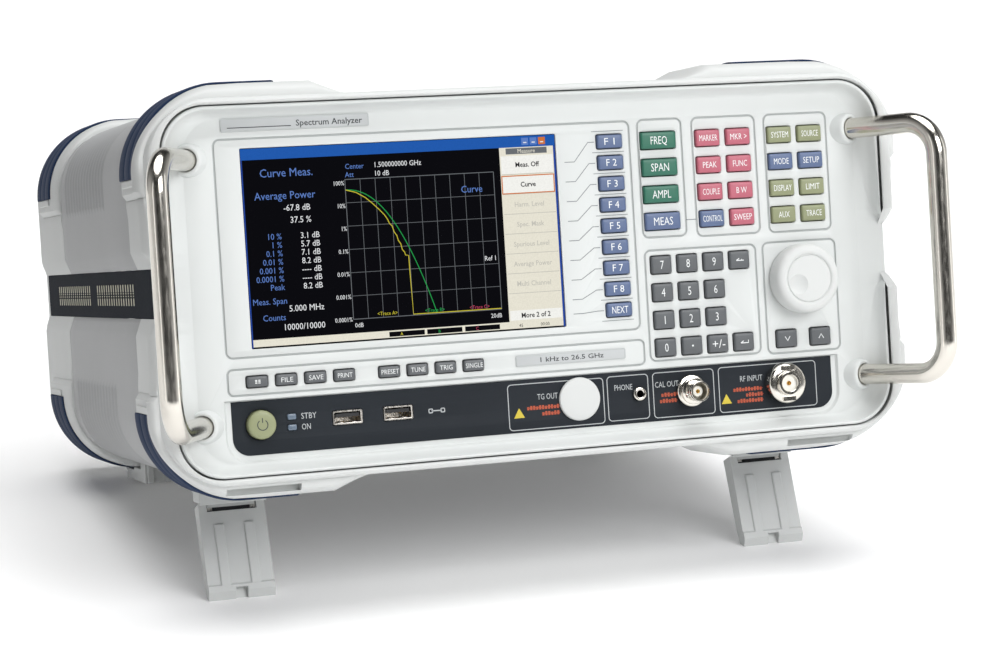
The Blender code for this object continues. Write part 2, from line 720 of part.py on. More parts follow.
def handle(name, side):
    """A bent tube: two legs leaning outward and a straight grip."""
    foot = Vector((side * HANDLE_AT[0], 0.0, HANDLE_AT[1]))
    reach = Vector((side * HANDLE_REACH[0], HANDLE_REACH[1], 0.0))
    out = reach.normalized()
    upper = [foot - out * 3.0]
    centre = foot + reach - out * HANDLE_BEND - Vector((0, 0, HANDLE_BEND))
    for i in range(CORNER_STEPS + 1):
        angle = radians(90 - 90 * i / CORNER_STEPS)
        upper.append(centre + out * HANDLE_BEND * cos(angle) + Vector((0, 0, HANDLE_BEND * sin(angle))))
    lower = [Vector((p.x, p.y, -p.z)) for p in reversed(upper)]
    return tube(name, upper + lower, HANDLE_RADIUS, NICKEL)


def label_plate(name, at, size):
    made = body(name, boxes(span(at, size, (-0.7, -GAP))), LABEL)
    return made


# Legs and feet


def leg_frame(along, forward):
    """A point of the leg, along it from its pin and forward of its middle, in Y and Z."""
    lean = radians(LEG_LEAN)
    y = LEG_AXIS[0] - along * sin(lean) - forward * cos(lean)
    z = LEG_AXIS[1] - along * cos(lean) + forward * sin(lean)
    return y, z


def tilt_leg(name, side):
    """A flat leg with a narrow tongue round its pin and a toe that stands flat on the ground."""
    toe_y, toe_z = TOE_AT
    toe = [
        (toe_y - TOE_HALF * cos(TILT), toe_z - TOE_HALF * sin(TILT)),
        (toe_y + TOE_HALF * cos(TILT), toe_z + TOE_HALF * sin(TILT)),
    ]
    front = [leg_frame(6.6, 5.0), leg_frame(44.0, 4.0), leg_frame(48.5, 3.3)]
    back = [leg_frame(48.5, -2.8), leg_frame(44.0, -3.6), leg_frame(6.6, -4.0)]
    outline = front + toe + back
    centre = side * LEG_X
    leg = plate(name, [outline], centre - LEG_WIDTH / 2, centre + LEG_WIDTH / 2, COVER_GREY, "X")
    half = LEG_WIDTH / 2 - EAR_THICKNESS - 0.5
    tongue = [leg_frame(8.0, 4.0), leg_frame(8.0, -4.0)]
    lean = 270 - LEG_LEAN
    tongue += arc(LEG_AXIS, 4.0, lean + 90, lean + 270)
    join(leg, plate(f"{name}_tongue", [tongue], centre - half, centre + half, None, "X", CUTTERS))
    bore = ((centre - 30, *LEG_AXIS), (centre + 30, *LEG_AXIS), PIN_RADIUS + PIN_CLEARANCE)
    cut(leg, cutter(f"{name}_bore", rounds(bore, segments=16)))
    channels = []
    for offset in (-7.6, 7.6):
        start, end = leg_frame(14.0, 4.1), leg_frame(52.0, 3.2)
        channels.append(((centre + offset, *start), (centre + offset, *end), 2.2))
    cut(leg, cutter(f"{name}_channels", rounds(*channels, segments=8)))
    pivot(leg, (centre, *LEG_AXIS))
    return leg


def leg_pin(name, side):
    centre = side * LEG_X
    half = LEG_WIDTH / 2 - 0.8
    made = rounds(((centre - half, *LEG_AXIS), (centre + half, *LEG_AXIS), PIN_RADIUS), segments=16)
    return body(name, made, NICKEL)


def add_leg_mounts(lower):
    """Two ears and a front lip for each leg, on the lower cover."""
    y, z = LEG_AXIS
    top = -CASE_HALF_H + 1.0
    for side in (-1, 1):
        middle = side * LEG_X
        outer = LEG_WIDTH / 2
        parts = [((middle - outer, y - 11.5, z - 5.0), (middle + outer, y - 8.5, top))]
        for ear in (-1, 1):
            near, far = sorted((middle + ear * outer, middle + ear * (outer - EAR_THICKNESS)))
            parts.append(((near, y - 9.5, z - 4.2), (far, y + 3.6, top)))
        # One mount's three blocks overlap, so each is joined in turn.
        for i, part in enumerate(parts):
            join(lower, cutter(f"leg_mount_{side}_{i}", boxes(part)))
        bore = ((middle - outer - 1, y, z), (middle + outer + 1, y, z), PIN_RADIUS + PIN_CLEARANCE)
        cut(lower, cutter(f"leg_mount_bore_{side}", rounds(bore, segments=16)))


def rear_foot(name, side):
    """A block under the rear guard: a tapered pad seat and a lower part that reaches forward."""
    y_low, y_high = FOOT_Y
    top, bottom = -CASE_HALF_H - GAP, PAD_TOP_Z
    half = FOOT_WIDTH / 2
    bm = boxes(((side * FOOT_X - half, y_low, bottom), (side * FOOT_X + half, y_high, top)))
    for vert in bm.verts:
        if vert.co.z < (top + bottom) / 2:
            vert.co.x += 2.6 * (1 if vert.co.x < side * FOOT_X else -1)
            vert.co.y += 1.5 * (1 if vert.co.y < (y_low + y_high) / 2 else -1)
    foot = body(name, bm, COVER_GREY)
    narrow = half - 1.2
    low = (side * FOOT_X - narrow, FOOT_FRONT_Y, FOOT_FRONT_Z)
    high = (side * FOOT_X + narrow, y_low + 2, top)
    join(foot, cutter(f"{name}_front", boxes((low, high))))
    near, far = sorted((side * 90.0, side * 160.0))
    guard = ((near, REAR_GUARD_Y[0] - GAP, -GUARD_HALF_H - GAP), (far, REAR_GUARD_Y[1] + GAP, -80.0))
    strip_z = -GUARD_HALF_H - STRIP_THICKNESS - GAP
    strip = ((near, REAR_STRIP_Y[0] - GAP, strip_z), (far, REAR_STRIP_Y[1] + GAP, -80.0))
    cut(foot, cutter(f"{name}_guard", boxes(guard)))
    cut(foot, cutter(f"{name}_strip", boxes(strip)))
    return foot


def foot_pad(name, side):
    """A rubber pad, flat under the level instrument and bevelled flat for the tilted one."""
    y_low, y_high = FOOT_Y
    rest_y, rest_z = FOOT_REST
    back_y = y_high - 2.2
    top = PAD_TOP_Z - GAP
    outline = [
        (y_low + 2.2, top), (y_low + 2.2, rest_z), (rest_y, rest_z),
        (back_y, rest_z + (back_y - rest_y) * tan(TILT)), (back_y, top),
    ]
    half = FOOT_WIDTH / 2 - 3.4
    return plate(name, [outline], side * FOOT_X - half, side * FOOT_X + half, BLACK, "X")


# Inside


def chassis():
    """A folded sheet tray under the boards."""
    front, back, low, high, half = 26.0, 296.0, -80.0, -30.0, 158.0
    made = body("chassis_tray", boxes(((-half, front, low), (half, back, low + 1.5))), SHEET)
    walls = boxes(
        ((-half, front, low + 0.2), (1.5 - half, back, high)),
        ((half - 1.5, front, low + 0.2), (half, back, high)),
    )
    join(made, cutter("chassis_walls", walls))
    return made


def boards():
    main = body("main_board", boxes(((-150.0, 150.0, -70.0), (0.0, 288.0, -68.4))), BOARD)
    chips = boxes(
        ((-130.0, 170.0, -68.8), (-98.0, 202.0, -62.0)),
        ((-80.0, 180.0, -68.8), (-60.0, 200.0, -65.0)),
        ((-40.0, 160.0, -68.8), (-10.0, 270.0, -52.0)),
        ((-120.0, 230.0, -68.8), (-70.0, 260.0, -58.0)),
    )
    join(main, cutter("main_board_chips", chips))
    outline = [
        (-148.0, -49.5), (157.0, -49.5), (157.0, 69.0), (30.0, 69.0), (30.0, -35.0), (-148.0, -35.0),
    ]
    front = plate("front_board", [outline], BOARD_Y[0], BOARD_Y[1], BOARD)
    x, z = KNOB_AT
    bore = ((x, BOARD_Y[0] - 1, z), (x, BOARD_Y[1] + 1, z), BUSH_RADIUS + GAP)
    cut(front, cutter("front_board_bore", rounds(bore, segments=16)))


def rf_module():
    made = body("rf_module", boxes(((10.0, 40.0, -74.0), (155.0, 190.0, -20.0))), SHEET)
    ribs = [((12.0 + 28 * i, 45.0, -21.0), (14.0 + 28 * i, 185.0, -16.0)) for i in range(6)]
    join(made, cutter("rf_module_ribs", boxes(*ribs)))
    return made


def power_supply():
    made = body("power_supply", boxes(((60.0, 200.0, -74.0), (155.0, 285.0, -26.0))), SHEET)
    slots = [((70.0 + 10 * i, 199.0, -60.0), (74.0 + 10 * i, 201.5, -40.0)) for i in range(8)]
    cut(made, cutter("power_supply_slots", boxes(*slots)))
    return made


def display():
    x, z, width, height = SCREEN
    window = body("display_window", boxes(span((x, z), (width, height), (0.3, 2.3))), GLASS)
    softened(window, 0.3)
    body("lcd_module", boxes(span((x, z), (width + 12, height + 12), (PANEL_BACK_Y + GAP, 14.0))), SHEET)


def fan():
    x, z = FAN_AT
    half = FAN_SIZE / 2
    back, front = FAN_BACK_Y, FAN_BACK_Y - FAN_DEPTH
    shell = boxes(((x - half, front, z - half), (x + half, back, z + half)))
    frame = body("fan_frame", shell, BLACK_PLASTIC)
    cut(frame, cutter("fan_duct", rounds(((x, front - 1, z), (x, back + 1, z), half - 2.5), segments=32)))
    join(frame, cutter("fan_hub", rounds(((x, front, z), (x, front + 4, z), 17.0), segments=20)))
    struts = []
    for angle in (45, 135, 225, 315):
        across, up = cos(radians(angle)), sin(radians(angle))
        near, far = (x + 15 * across, front + 2, z + 15 * up), (x + half * across, front + 2, z + half * up)
        struts.append((near, far, 1.6))
    join(frame, cutter("fan_struts", rounds(*struts, segments=8)))
    hub_profile = (
        (0.0, -7.0), (16.0, -7.0), (16.0, -(FAN_DEPTH - 4)), (0.0, -(FAN_DEPTH - 4)),
    )
    rotor = turned("fan_rotor", hub_profile, (x, front, z), BLACK_PLASTIC, 20)
    for i in range(7):
        angle = 2 * pi * i / 7
        bm = boxes(((-1.0, -7.5, 14.0), (1.0, 7.5, half - 4.5)))
        middle = front + 14.0
        turn = Matrix.Rotation(angle, 4, "Y") @ Matrix.Rotation(radians(35), 4, "Z")
        bmesh.ops.transform(bm, matrix=Matrix.Translation((x, middle, z)) @ turn, verts=bm.verts)
        join(rotor, cutter(f"fan_blade_{i}", bm))


def rear_panel():
    outline = rounded(CAVITY_HALF_W - GAP, CAVITY_HALF_H - GAP, CAVITY_RADIUS - GAP)
    panel = body("rear_panel", loft([(REAR_PANEL_Y, outline), (REAR_PANEL_Y + 1.6, outline)]), COVER_GREY)
    through = (REAR_PANEL_Y - 1, REAR_PANEL_Y + 3)
    slots = []
    for row in range(9):
        z = FAN_AT[1] - 32 + 8 * row
        reach = (35 ** 2 - (z - FAN_AT[1]) ** 2) ** 0.5
        slots.append(span((FAN_AT[0], z), (2 * reach, 4.4), through))
    for column in range(12):
        slots.append(span((-30.0 + 12 * column, 56.0), (4.0, 26.0), through))
    slots.append(span(INLET_AT, (28.0, 20.6), through))
    slots.append(span(SWITCH_AT, ROCKER_SIZE, through, ROCKER_CLEARANCE + GAP))
    slots.append(span(IO_AT, (IO_SIZE[0] - 8, IO_SIZE[1] - 8), through))
    cut(panel, cutter("rear_slots", boxes(*slots)))
    return panel


def mains_inlet():
    """One moulding with the inlet's mouth, its three pins and the frame round the mains switch."""
    x, z = INLET_AT
    back = REAR_PANEL_Y + 1.6 + GAP
    made = body("mains_inlet", boxes(((x - 25, back, z - 13), (x + 25, back + 2.2, z + 37))), BLACK_PLASTIC)
    join(made, cutter("inlet_body", boxes(((x - 13.6, back - 22, z - 9.9), (x + 13.6, back + 1, z + 9.9)))))
    mouths = [
        ((x - 12.2, back - 16, z - 8.2), (x + 12.2, back + 3, z + 8.2)),
        span(SWITCH_AT, ROCKER_SIZE, (back - 1, back + 3), ROCKER_CLEARANCE),
    ]
    cut(made, cutter("inlet_mouths", boxes(*mouths)))
    pins = []
    for dx, dz in ((-7.0, 1.0), (0.0, 4.6), (7.0, 1.0)):
        pins.append(((x + dx - 2, back - 17, z + dz - 1), (x + dx + 2, back - 1, z + dz + 1)))
    join(made, cutter("inlet_pins", boxes(*pins)))
    return made


def mains_switch():
    """The rocking key, its top half standing out."""
    x, z = SWITCH_AT
    y = REAR_PANEL_Y + 3.8
    half_w, half_h = ROCKER_SIZE[0] / 2, ROCKER_SIZE[1] / 2
    outline = [(y - 11, z - 3), (y - 0.8, z - half_h), (y + 0.2, z), (y + 2.6, z + half_h), (y - 11, z + 3)]
    made = plate("mains_switch", [outline], x - half_w, x + half_w, BLACK_PLASTIC, "X")
    pivot(made, (x, y - 5.0, z))
    return made


def io_plate():
    x, z = IO_AT
    y = REAR_PANEL_Y + 1.6 + GAP
    made = body("io_plate", boxes(span(IO_AT, IO_SIZE, (y, y + 1.2))), SHEET)
    blocks = [
        ((x - 66, y + 0.5, z + 6), (x - 30, y + 6, z + 19)),
        ((x - 22, y + 0.5, z + 6), (x + 14, y + 6, z + 19)),
        ((x - 66, y + 0.5, z - 22), (x - 4, y + 5, z - 6)),
        ((x + 4, y + 0.5, z - 22), (x + 22, y + 3, z - 6)),
        ((x + 24, y + 0.5, z + 4), (x + 42, y + 3, z + 21)),
    ]
    join(made, cutter("io_blocks", boxes(*blocks)))
    sockets = [((x + 54, y + 0.5, z + dz), (x + 54, y + 12, z + dz), 4.85) for dz in (-20, 0, 20)]
    join(made, cutter("io_sockets", rounds(*sockets, segments=16)))
    return made


def build():
    front_frame()
    rear_frame()
    cover("top_cover", 1)
    lower = cover("bottom_cover", -1)
    add_leg_mounts(lower)
    for name, side in (("left", -1), ("right", 1)):
        side_band(f"side_band_{name}", side)
        handle(f"handle_{name}", side)
        tilt_leg(f"tilt_leg_{name}", side)
        leg_pin(f"leg_pin_{name}", side)
        rear_foot(f"rear_foot_{name}", side)
        foot_pad(f"foot_pad_{name}", side)
    for name, corner in CORNERS.items():
        bumper(f"front_bumper_{name}", corner, FRONT_STRIP_Y)
        bumper(f"rear_bumper_{name}", corner, REAR_STRIP_Y)
    groups = key_centres()
    front_panel(groups)
    connector_strip()
    finishes = {
        "soft_keys": KEY_BLUE, "function_keys": KEY_GREEN, "marker_keys": KEY_PINK,
        "system_keys": KEY_OLIVE,
    }
    for name, (centres, size) in groups.items():
        key_mat(name, centres, size, finishes.get(name, KEY_GREY))
    knob()
    encoder()
    power_button()
    status_lamps()
    for name, at in USB_AT.items():
        usb_socket(name, at)
    front_connectors()
    label_plate("badge_plate", (-113.5, 75.4), (70.0, 6.0))
    label_plate("range_plate", (13.7, -41.4), (55.4, 5.1))
    display()
    chassis()
    boards()
    rf_module()
    power_supply()
    fan()
    rear_panel()
    mains_inlet()
    mains_switch()
    io_plate()


def set_down():
    """Moves the instrument so that its box stands on Z = 0, centred in X and Y."""
    bpy.context.view_layer.update()
    graph = bpy.context.evaluated_depsgraph_get()
    corners = []
    for piece in PARTS.objects:
        if piece.type == "EMPTY":
            continue
        ready = piece.evaluated_get(graph)
        mesh = ready.to_mesh()
        corners += [ready.matrix_world @ vert.co for vert in mesh.vertices]
        ready.to_mesh_clear()
    low = [min(c[i] for c in corners) for i in range(3)]
    high = [max(c[i] for c in corners) for i in range(3)]
    ROOT.location = (-(low[0] + high[0]) / 2, -(low[1] + high[1]) / 2, -low[2])


build()
set_down()
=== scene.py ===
"""Looks for the bench spectrum analyzer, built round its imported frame.

Pieces are modelled in millimetres in the instrument's own frame: X right, Y back, Z up, with the origin on
the flat of the front panel at the middle of the front frame. PLACE carries that frame, tilted back on its
legs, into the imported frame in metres.
"""

from math import atan2, cos, hypot, pi, radians, sin, sqrt, tan

import bmesh
import bpy
from mathutils import Matrix, Vector


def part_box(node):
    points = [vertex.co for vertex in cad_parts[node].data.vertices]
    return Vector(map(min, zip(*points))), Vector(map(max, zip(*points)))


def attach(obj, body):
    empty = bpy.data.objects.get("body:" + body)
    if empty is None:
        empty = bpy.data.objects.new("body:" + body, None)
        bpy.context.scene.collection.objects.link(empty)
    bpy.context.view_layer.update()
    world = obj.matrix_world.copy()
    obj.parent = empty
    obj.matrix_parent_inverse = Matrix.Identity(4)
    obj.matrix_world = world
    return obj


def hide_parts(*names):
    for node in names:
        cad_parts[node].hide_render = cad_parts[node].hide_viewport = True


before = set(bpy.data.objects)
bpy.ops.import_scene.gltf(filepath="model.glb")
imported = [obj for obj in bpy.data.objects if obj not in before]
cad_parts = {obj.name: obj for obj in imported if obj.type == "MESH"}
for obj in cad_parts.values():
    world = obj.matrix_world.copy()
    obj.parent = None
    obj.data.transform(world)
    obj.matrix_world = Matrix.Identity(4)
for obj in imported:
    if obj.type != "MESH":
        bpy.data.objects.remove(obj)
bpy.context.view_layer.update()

MM = 0.001
ROOT = "instrument"

# How the instrument stands: the toe and the rear pad that touch the ground, and the left leg's pin.
TOE_AT = (61.8, -147.0)
FOOT_REST = (300.0, -104.6)
LEG_PIN = Vector((-139.2, 78.0, -97.0))
TILT = atan2(FOOT_REST[1] - TOE_AT[1], FOOT_REST[0] - TOE_AT[0])

# Case sections are (half width, half height, corner radius). The side valleys hold the dark bands.
CASE = (184.0, 88.3, 32.0)
BAND_Z = 1.0
BAND_HALF_H = 11.5
VALLEY_HALF_H = 19.5
VALLEY_FLOOR_X = 181.0
GROOVE_X = 179.1
BAND_Y = (15.3, 324.9)
GUARD = (186.3, 95.0, 40.0)
GUARD_SIDE = (44.5, 47.5)
GUARD_NOTCH = (42.0, 0.5)
GUARD_TOP = (90.0, 104.5)
RIGHT_GUARD_EXTRA = 12.0
RUBBER_THICK = 1.3
RUBBER_TOP_END = 120.5
STRAIGHT = 0.999
SIDE_STRETCH = 53.0
TOP_STRETCH = 140.0
VALLEY_STRETCH = 40.0
LOBES = 3
LOBE_STEPS = 42
COVER_Y = (50.3, 242.7)
COVER_WALL = 2.2
RIB_Y = (109.0, 228.0)
RIB_PITCH = 8.5
RIB_WIDTH = 3.2
RIB_RISE = 0.75

# Front panel. The cove opens from COVE_ENDS[0] to COVE_ENDS[1] above and below the side valleys.
PANEL = (177.3, 83.9, 20.5)
MOUTH = (178.3, 84.9, 21.0)
COVE_ENDS = (12.0, 48.0)
BEAD = 4.0
VALLEY_SINK = 0.4
PLATE_THICK = 3.0
GROOVE_WIDTH = 0.9
KEY_HOLE_CORNER = 1.1
KNOB_HOLE = 4.2
# The screen and the strip are (centre X, centre Z, width, height).
SCREEN = (-63.9, 19.0, 152.2, 91.0)
SCREEN_Y = 0.5
SCREEN_LEFT = SCREEN[0] - SCREEN[2] / 2
SCREEN_TOP = SCREEN[1] + SCREEN[3] / 2
# The plot and the menu, measured right and down from the screen's top left corner.
PLOT = (48.5, 16.2, 120.8, 80.8)
MENU_MIDDLE = 137.7
MENU_SPAN = (124.9, 150.8)
MENU_TOP = 13.4
MENU_PITCH = 9.34
STRIP = (-1.0, -62.8, 301.2, 25.0)
STRIP_CORNER = 8.0
STRIP_Y = 1.2
STRIP_PRINT_Y = STRIP_Y - 0.05
SOCKET_Y = STRIP_Y - 0.2

# Key groups: (first X, pitch, columns), (first Z, pitch, rows), (width, height).
KEY_TOP_Y = -1.6
KEY_FOOT_Y = 5.2
KEY_GAP = 0.4
KEYS = {
    "soft_keys": ((39.5, 0.0, 1), (59.9, 10.04, 9), (12.7, 6.5)),
    "function_keys": ((64.4, 0.0, 1), (59.3, 12.93, 4), (18.1, 8.1)),
    "marker_keys": ((90.1, 15.9, 2), (59.3, 12.96, 4), (12.4, 7.8)),
    "system_keys": ((127.9, 16.0, 2), (59.2, 12.96, 4), (12.6, 7.7)),
    "number_keys": ((62.3, 13.58, 4), (-0.35, 13.27, 4), (10.3, 8.4)),
    "file_keys": ((-139.0, 13.73, 4), (-41.6, 0.0, 1), (9.85, 5.05)),
    "preset_keys": ((-76.2, 13.7, 4), (-41.6, 0.0, 1), (9.85, 5.05)),
    "arrow_down_key": ((125.9, 0.0, 1), (-40.15, 0.0, 1), (10.7, 8.4)),
    "arrow_up_key": ((143.9, 0.0, 1), (-40.15, 0.0, 1), (10.7, 8.4)),
}
NUMBER_ROWS = (4, 3, 3, 4)
# Outlines sunk into the panel: centre X, centre Z, width, height, corner radius.
GROOVES = (
    (-51.3, 19.4, 202.3, 99.5, 3.0),
    (65.5, 41.2, 22.5, 56.4, 3.0),
    (98.8, 40.7, 33.0, 57.1, 3.0),
    (136.8, 40.5, 33.0, 57.3, 3.0),
    (83.2, -19.8, 57.8, 53.0, 3.0),
    (135.3, -20.1, 38.7, 54.1, 3.0),
    (-50.7, -41.55, 203.8, 11.85, 2.5),
)

# Controls and sockets.
KNOB_AT = (135.2, -11.4)
POWER_AT = (-138.3, -61.4)
LAMP_AT = (-123.5, -61.4)
LAMP_PITCH = 4.95
LAMP_HALF = (2.1, 1.35)
USB_AT = {"usb_socket_left": (-97.1, -61.2), "usb_socket_right": (-72.7, -61.1)}
BLANK_AT = (17.1, -61.5)
PHONE_AT = (47.7, -61.4)
CAL_AT = (74.4, -61.9)
RF_AT = (123.2, -61.7)
HANDLE_AT = (165.0, 60.5)
HANDLE_REACH = (23.3, -47.0)
HANDLE_RADIUS = 5.0
HANDLE_BEND = 16.0
HANDLE_SIDES = 40
BADGES = {
    "badge": ((-113.5, 75.5), (70.0, 6.0)),
    "range": ((13.7, -41.4), (55.4, 5.1)),
}
LEG_X = 139.2
LEG_WIDTH = 32.7
LEG_LEAN = 18.0
LEG_RIB_X = 7.4
TOE_HALF = 2.6
FOOT_X = 130.5
PAD_HALF = 14.1
PAD_Y = (285.2, 314.8)
FOOT_FRONT = (231.0, -102.8)
REAR_PANEL_Y = 326.0
REAR_FACE_Y = REAR_PANEL_Y + 1.9
FAN_AT = (-112.0, 8.0)
FAN_SCREW = 35.75
GRILLE_RINGS = (8.0, 14.0, 20.0, 26.0, 32.0, 37.5)
GRILLE_HALF_SLOT = 1.5
GRILLE_BAR = 9 * 37 / 4
INLET_AT = (140.0, -44.0)
SWITCH_AT = (140.0, -19.0)
IO_AT = (28.0, -30.0)

# The camera, in the instrument's frame.
CAMERA_AT = (-407.95, -1164.1, 12.45)
CAMERA_YAW = -18.387
CAMERA_PITCH = -1.907
CAMERA_ROLL = -3.517
CAMERA_LENS = 93.94

# Light, in metres and watts. The sky's brightness falls with height and rises towards both sides.
MIDDLE = (0.0, 0.0, 0.12)
FLOOR_GLOW = 0.1
OVERHEAD = 2.9
OVERHEAD_SPREAD = 58.0
SKY_BY_HEIGHT = (0.7, 0.12)
SKY_BY_SIDE = (0.08, 1.0)
SOFT_LIGHTS = {
    "key": ((0.75, -2.1, 1.5), (1.4, 1.2), 42.0),
    "left_edge": ((-1.7, -1.0, 0.5), (0.22, 1.5), 1.4),
    "right_edge": ((1.8, -0.6, 0.5), (0.3, 1.5), 2.0),
}
FLOOR_REACH = 9.0
COVE_START = 10.0
COVE_RADIUS = 2.5
BACKDROP_TOP = 8.0
CARD_X = -0.5
CARD_Y = (-0.45, 0.75)
CARD_Z = (0.1, 0.6)

# Drawing. FONT_CAP is a capital's height at a text size of 1, and the weights thin or fatten its strokes.
ARC_STEPS = 28
FONT_CAP = 0.69
LEGEND_WEIGHT = -0.004
LABEL_WEIGHT = 0.012
PRINT_THICK = 0.04
SCREEN_THICK = 0.02
SMOOTH_BELOW = 32.0


def placement():
    """The instrument's own frame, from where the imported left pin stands."""
    low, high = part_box("leg_pin_left")
    pin = (low + high) / 2
    turn = Matrix.Rotation(-TILT, 4, "X") @ Matrix.Scale(MM, 4)
    return Matrix.Translation(pin) @ turn @ Matrix.Translation(-LEG_PIN)


PLACE = placement()


# Materials


def srgb(red, green, blue):
    """A colour given in screen values, as the shaders want it."""
    def linear(value):
        value /= 255
        return value / 12.92 if value <= 0.04045 else ((value + 0.055) / 1.055) ** 2.4

    return linear(red), linear(green), linear(blue)


def noise(tree, source, scale, detail=2.0):
    made = tree.nodes.new("ShaderNodeTexNoise")
    made.inputs["Scale"].default_value = scale
    made.inputs["Detail"].default_value = detail
    tree.links.new(source, made.inputs["Vector"])
    return made.outputs["Fac"]


def remap(tree, source, low, high, start=0.3, end=0.7):
    made = tree.nodes.new("ShaderNodeMapRange")
    for socket, value in (("From Min", start), ("From Max", end), ("To Min", low), ("To Max", high)):
        made.inputs[socket].default_value = value
    tree.links.new(source, made.inputs["Value"])
    return made.outputs["Result"]


def mixed(tree, factor, first, second):
    made = tree.nodes.new("ShaderNodeMix")
    made.data_type = "RGBA"
    tree.links.new(factor, made.inputs["Factor"])
    for socket, value in ((6, first), (7, second)):
        if isinstance(value, tuple):
            made.inputs[socket].default_value = (*value, 1.0)
        else:
            tree.links.new(value, made.inputs[socket])
    return made.outputs[2]


def shade(colour, factor):
    return tuple(min(1.0, channel * factor) for channel in colour)


def blank_material(name):
    """A new material, its node tree, its shader and its object coordinates."""
    made = bpy.data.materials.new(name)
    made.use_nodes = True
    tree = made.node_tree
    place = tree.nodes.new("ShaderNodeTexCoord").outputs["Object"]
    return made, tree, tree.nodes["Principled BSDF"], place


def bumped(tree, shader, height, strength, distance):
    bump = tree.nodes.new("ShaderNodeBump")
    bump.inputs["Strength"].default_value = strength
    bump.inputs["Distance"].default_value = distance
    tree.links.new(height, bump.inputs["Height"])
    tree.links.new(bump.outputs["Normal"], shader.inputs["Normal"])


def moulded(
    name, colour, roughness, grain=0.0007, relief=0.00001, drift=0.02, metallic=0.0, spread=0.05, specular=0.5
):
    """A moulded or painted surface: faint clouds of colour, fine grain and uneven gloss."""
    made, tree, shader, place = blank_material(name)
    shader.inputs["Metallic"].default_value = metallic
    shader.inputs["Specular IOR Level"].default_value = specular
    cloud = remap(tree, noise(tree, place, 22.0, 3.0), 0.0, 1.0)
    tint = mixed(tree, cloud, shade(colour, 1 - drift), shade(colour, 1 + drift))
    tree.links.new(tint, shader.inputs["Base Color"])
    fine = noise(tree, place, 1 / grain, 2.0)
    gloss = remap(tree, fine, roughness - spread, roughness + spread)
    tree.links.new(gloss, shader.inputs["Roughness"])
    bumped(tree, shader, fine, 0.6, relief)
    return made


def polished(name, colour, roughness, streak=(900.0, 900.0, 60.0)):
    """Plated metal with faint polishing lines."""
    made, tree, shader, place = blank_material(name)
    shader.inputs["Metallic"].default_value = 1.0
    stretch = tree.nodes.new("ShaderNodeMapping")
    stretch.inputs["Scale"].default_value = streak
    tree.links.new(place, stretch.inputs["Vector"])
    lines = noise(tree, stretch.outputs["Vector"], 1.0, 3.0)
    cloud = noise(tree, place, 40.0, 2.0)
    tint = mixed(tree, cloud, shade(colour, 0.94), shade(colour, 1.05))
    tree.links.new(tint, shader.inputs["Base Color"])
    gloss = remap(tree, lines, roughness * 0.7, roughness * 1.4)
    tree.links.new(gloss, shader.inputs["Roughness"])
    bumped(tree, shader, lines, 0.25, 0.00001)
    return made


def glowing(name, colour, strength=1.0):
    """A lit part of the display, with a faint pixel texture over near black."""
    made, tree, shader, place = blank_material(name)
    cells = noise(tree, place, 1500.0, 0.0)
    tint = mixed(tree, remap(tree, cells, 0.0, 1.0), shade(colour, 0.94), colour)
    shader.inputs["Base Color"].default_value = (0.0015, 0.0015, 0.002, 1.0)
    shader.inputs["Roughness"].default_value = 0.4
    shader.inputs["Specular IOR Level"].default_value = 0.0
    shader.inputs["Emission Strength"].default_value = strength
    tree.links.new(tint, shader.inputs["Emission Color"])
    return made


LIGHT_GREY = moulded("light_grey_moulding", srgb(203, 205, 204), 0.55, specular=0.3)
PANEL_GREY = moulded("panel_moulding", srgb(206, 209, 208), 0.5, specular=0.35)
# The covers are the same light grey plastic as the frame; this darker grey is painted shade for their dimly
# lit sides. The rear plate shares it.
COVER_SHADED_GREY = moulded("cover_grey_painted_shade", srgb(168, 169, 170), 0.55, specular=0.25)
# A darker grey for the groove floors and the badge rims: painted shade, not the moulding's own colour.
GROOVE_SHADE_GREY = moulded("painted_groove_shade", srgb(172, 176, 176), 0.6)
NAVY = moulded("navy_rubber", srgb(30, 46, 74), 0.6, drift=0.06, specular=0.08)
# A darker, duller copy of the strip's charcoal for the side bands: painted shade for the bands, which lie in
# the dimly lit side valleys.
BAND_SHADED_CHARCOAL = moulded("band_charcoal_painted_shade", srgb(30, 34, 41), 0.7, relief=0.00003, drift=0.05, specular=0.03)
CHARCOAL = moulded(
    "charcoal_grain", srgb(38, 42, 47), 0.6, grain=0.0006, relief=0.00005, drift=0.06, specular=0.12,
)
KEY_BLUE = moulded("blue_key", srgb(84, 100, 134), 0.4)
KEY_GREEN = moulded("green_key", srgb(36, 100, 80), 0.4)
KEY_PINK = moulded("pink_key", srgb(176, 92, 108), 0.4)
KEY_OLIVE = moulded("olive_key", srgb(134, 139, 106), 0.4)
KEY_GREY = moulded("grey_key", srgb(86, 89, 92), 0.42)
POWER_OLIVE = moulded("power_key", srgb(140, 145, 110), 0.4)
LEGEND = moulded("white_print", srgb(224, 227, 227), 0.5)
INK = moulded("grey_print", srgb(120, 126, 128), 0.5)
DARK_INK = moulded("dark_print", srgb(52, 55, 58), 0.5)
AMBER = moulded("amber_print", srgb(172, 74, 44), 0.5)
YELLOW = moulded("yellow_print", srgb(196, 176, 52), 0.5)
STRIP_LINE = moulded("strip_print", srgb(176, 180, 182), 0.5)
BAND_MARK = moulded("band_print", srgb(186, 184, 160), 0.5)
NICKEL = polished("polished_nickel", srgb(214, 210, 202), 0.16)
SATIN = polished("satin_nickel", srgb(204, 200, 194), 0.26)
GOLD = polished("gold_contact", srgb(226, 178, 86), 0.25)
PTFE = moulded("white_insulator", srgb(236, 234, 226), 0.5)
BLACK = moulded("black_moulding", srgb(26, 26, 28), 0.5, drift=0.1)
RUBBER = moulded("black_rubber", srgb(30, 30, 31), 0.75, relief=0.00005, drift=0.12)
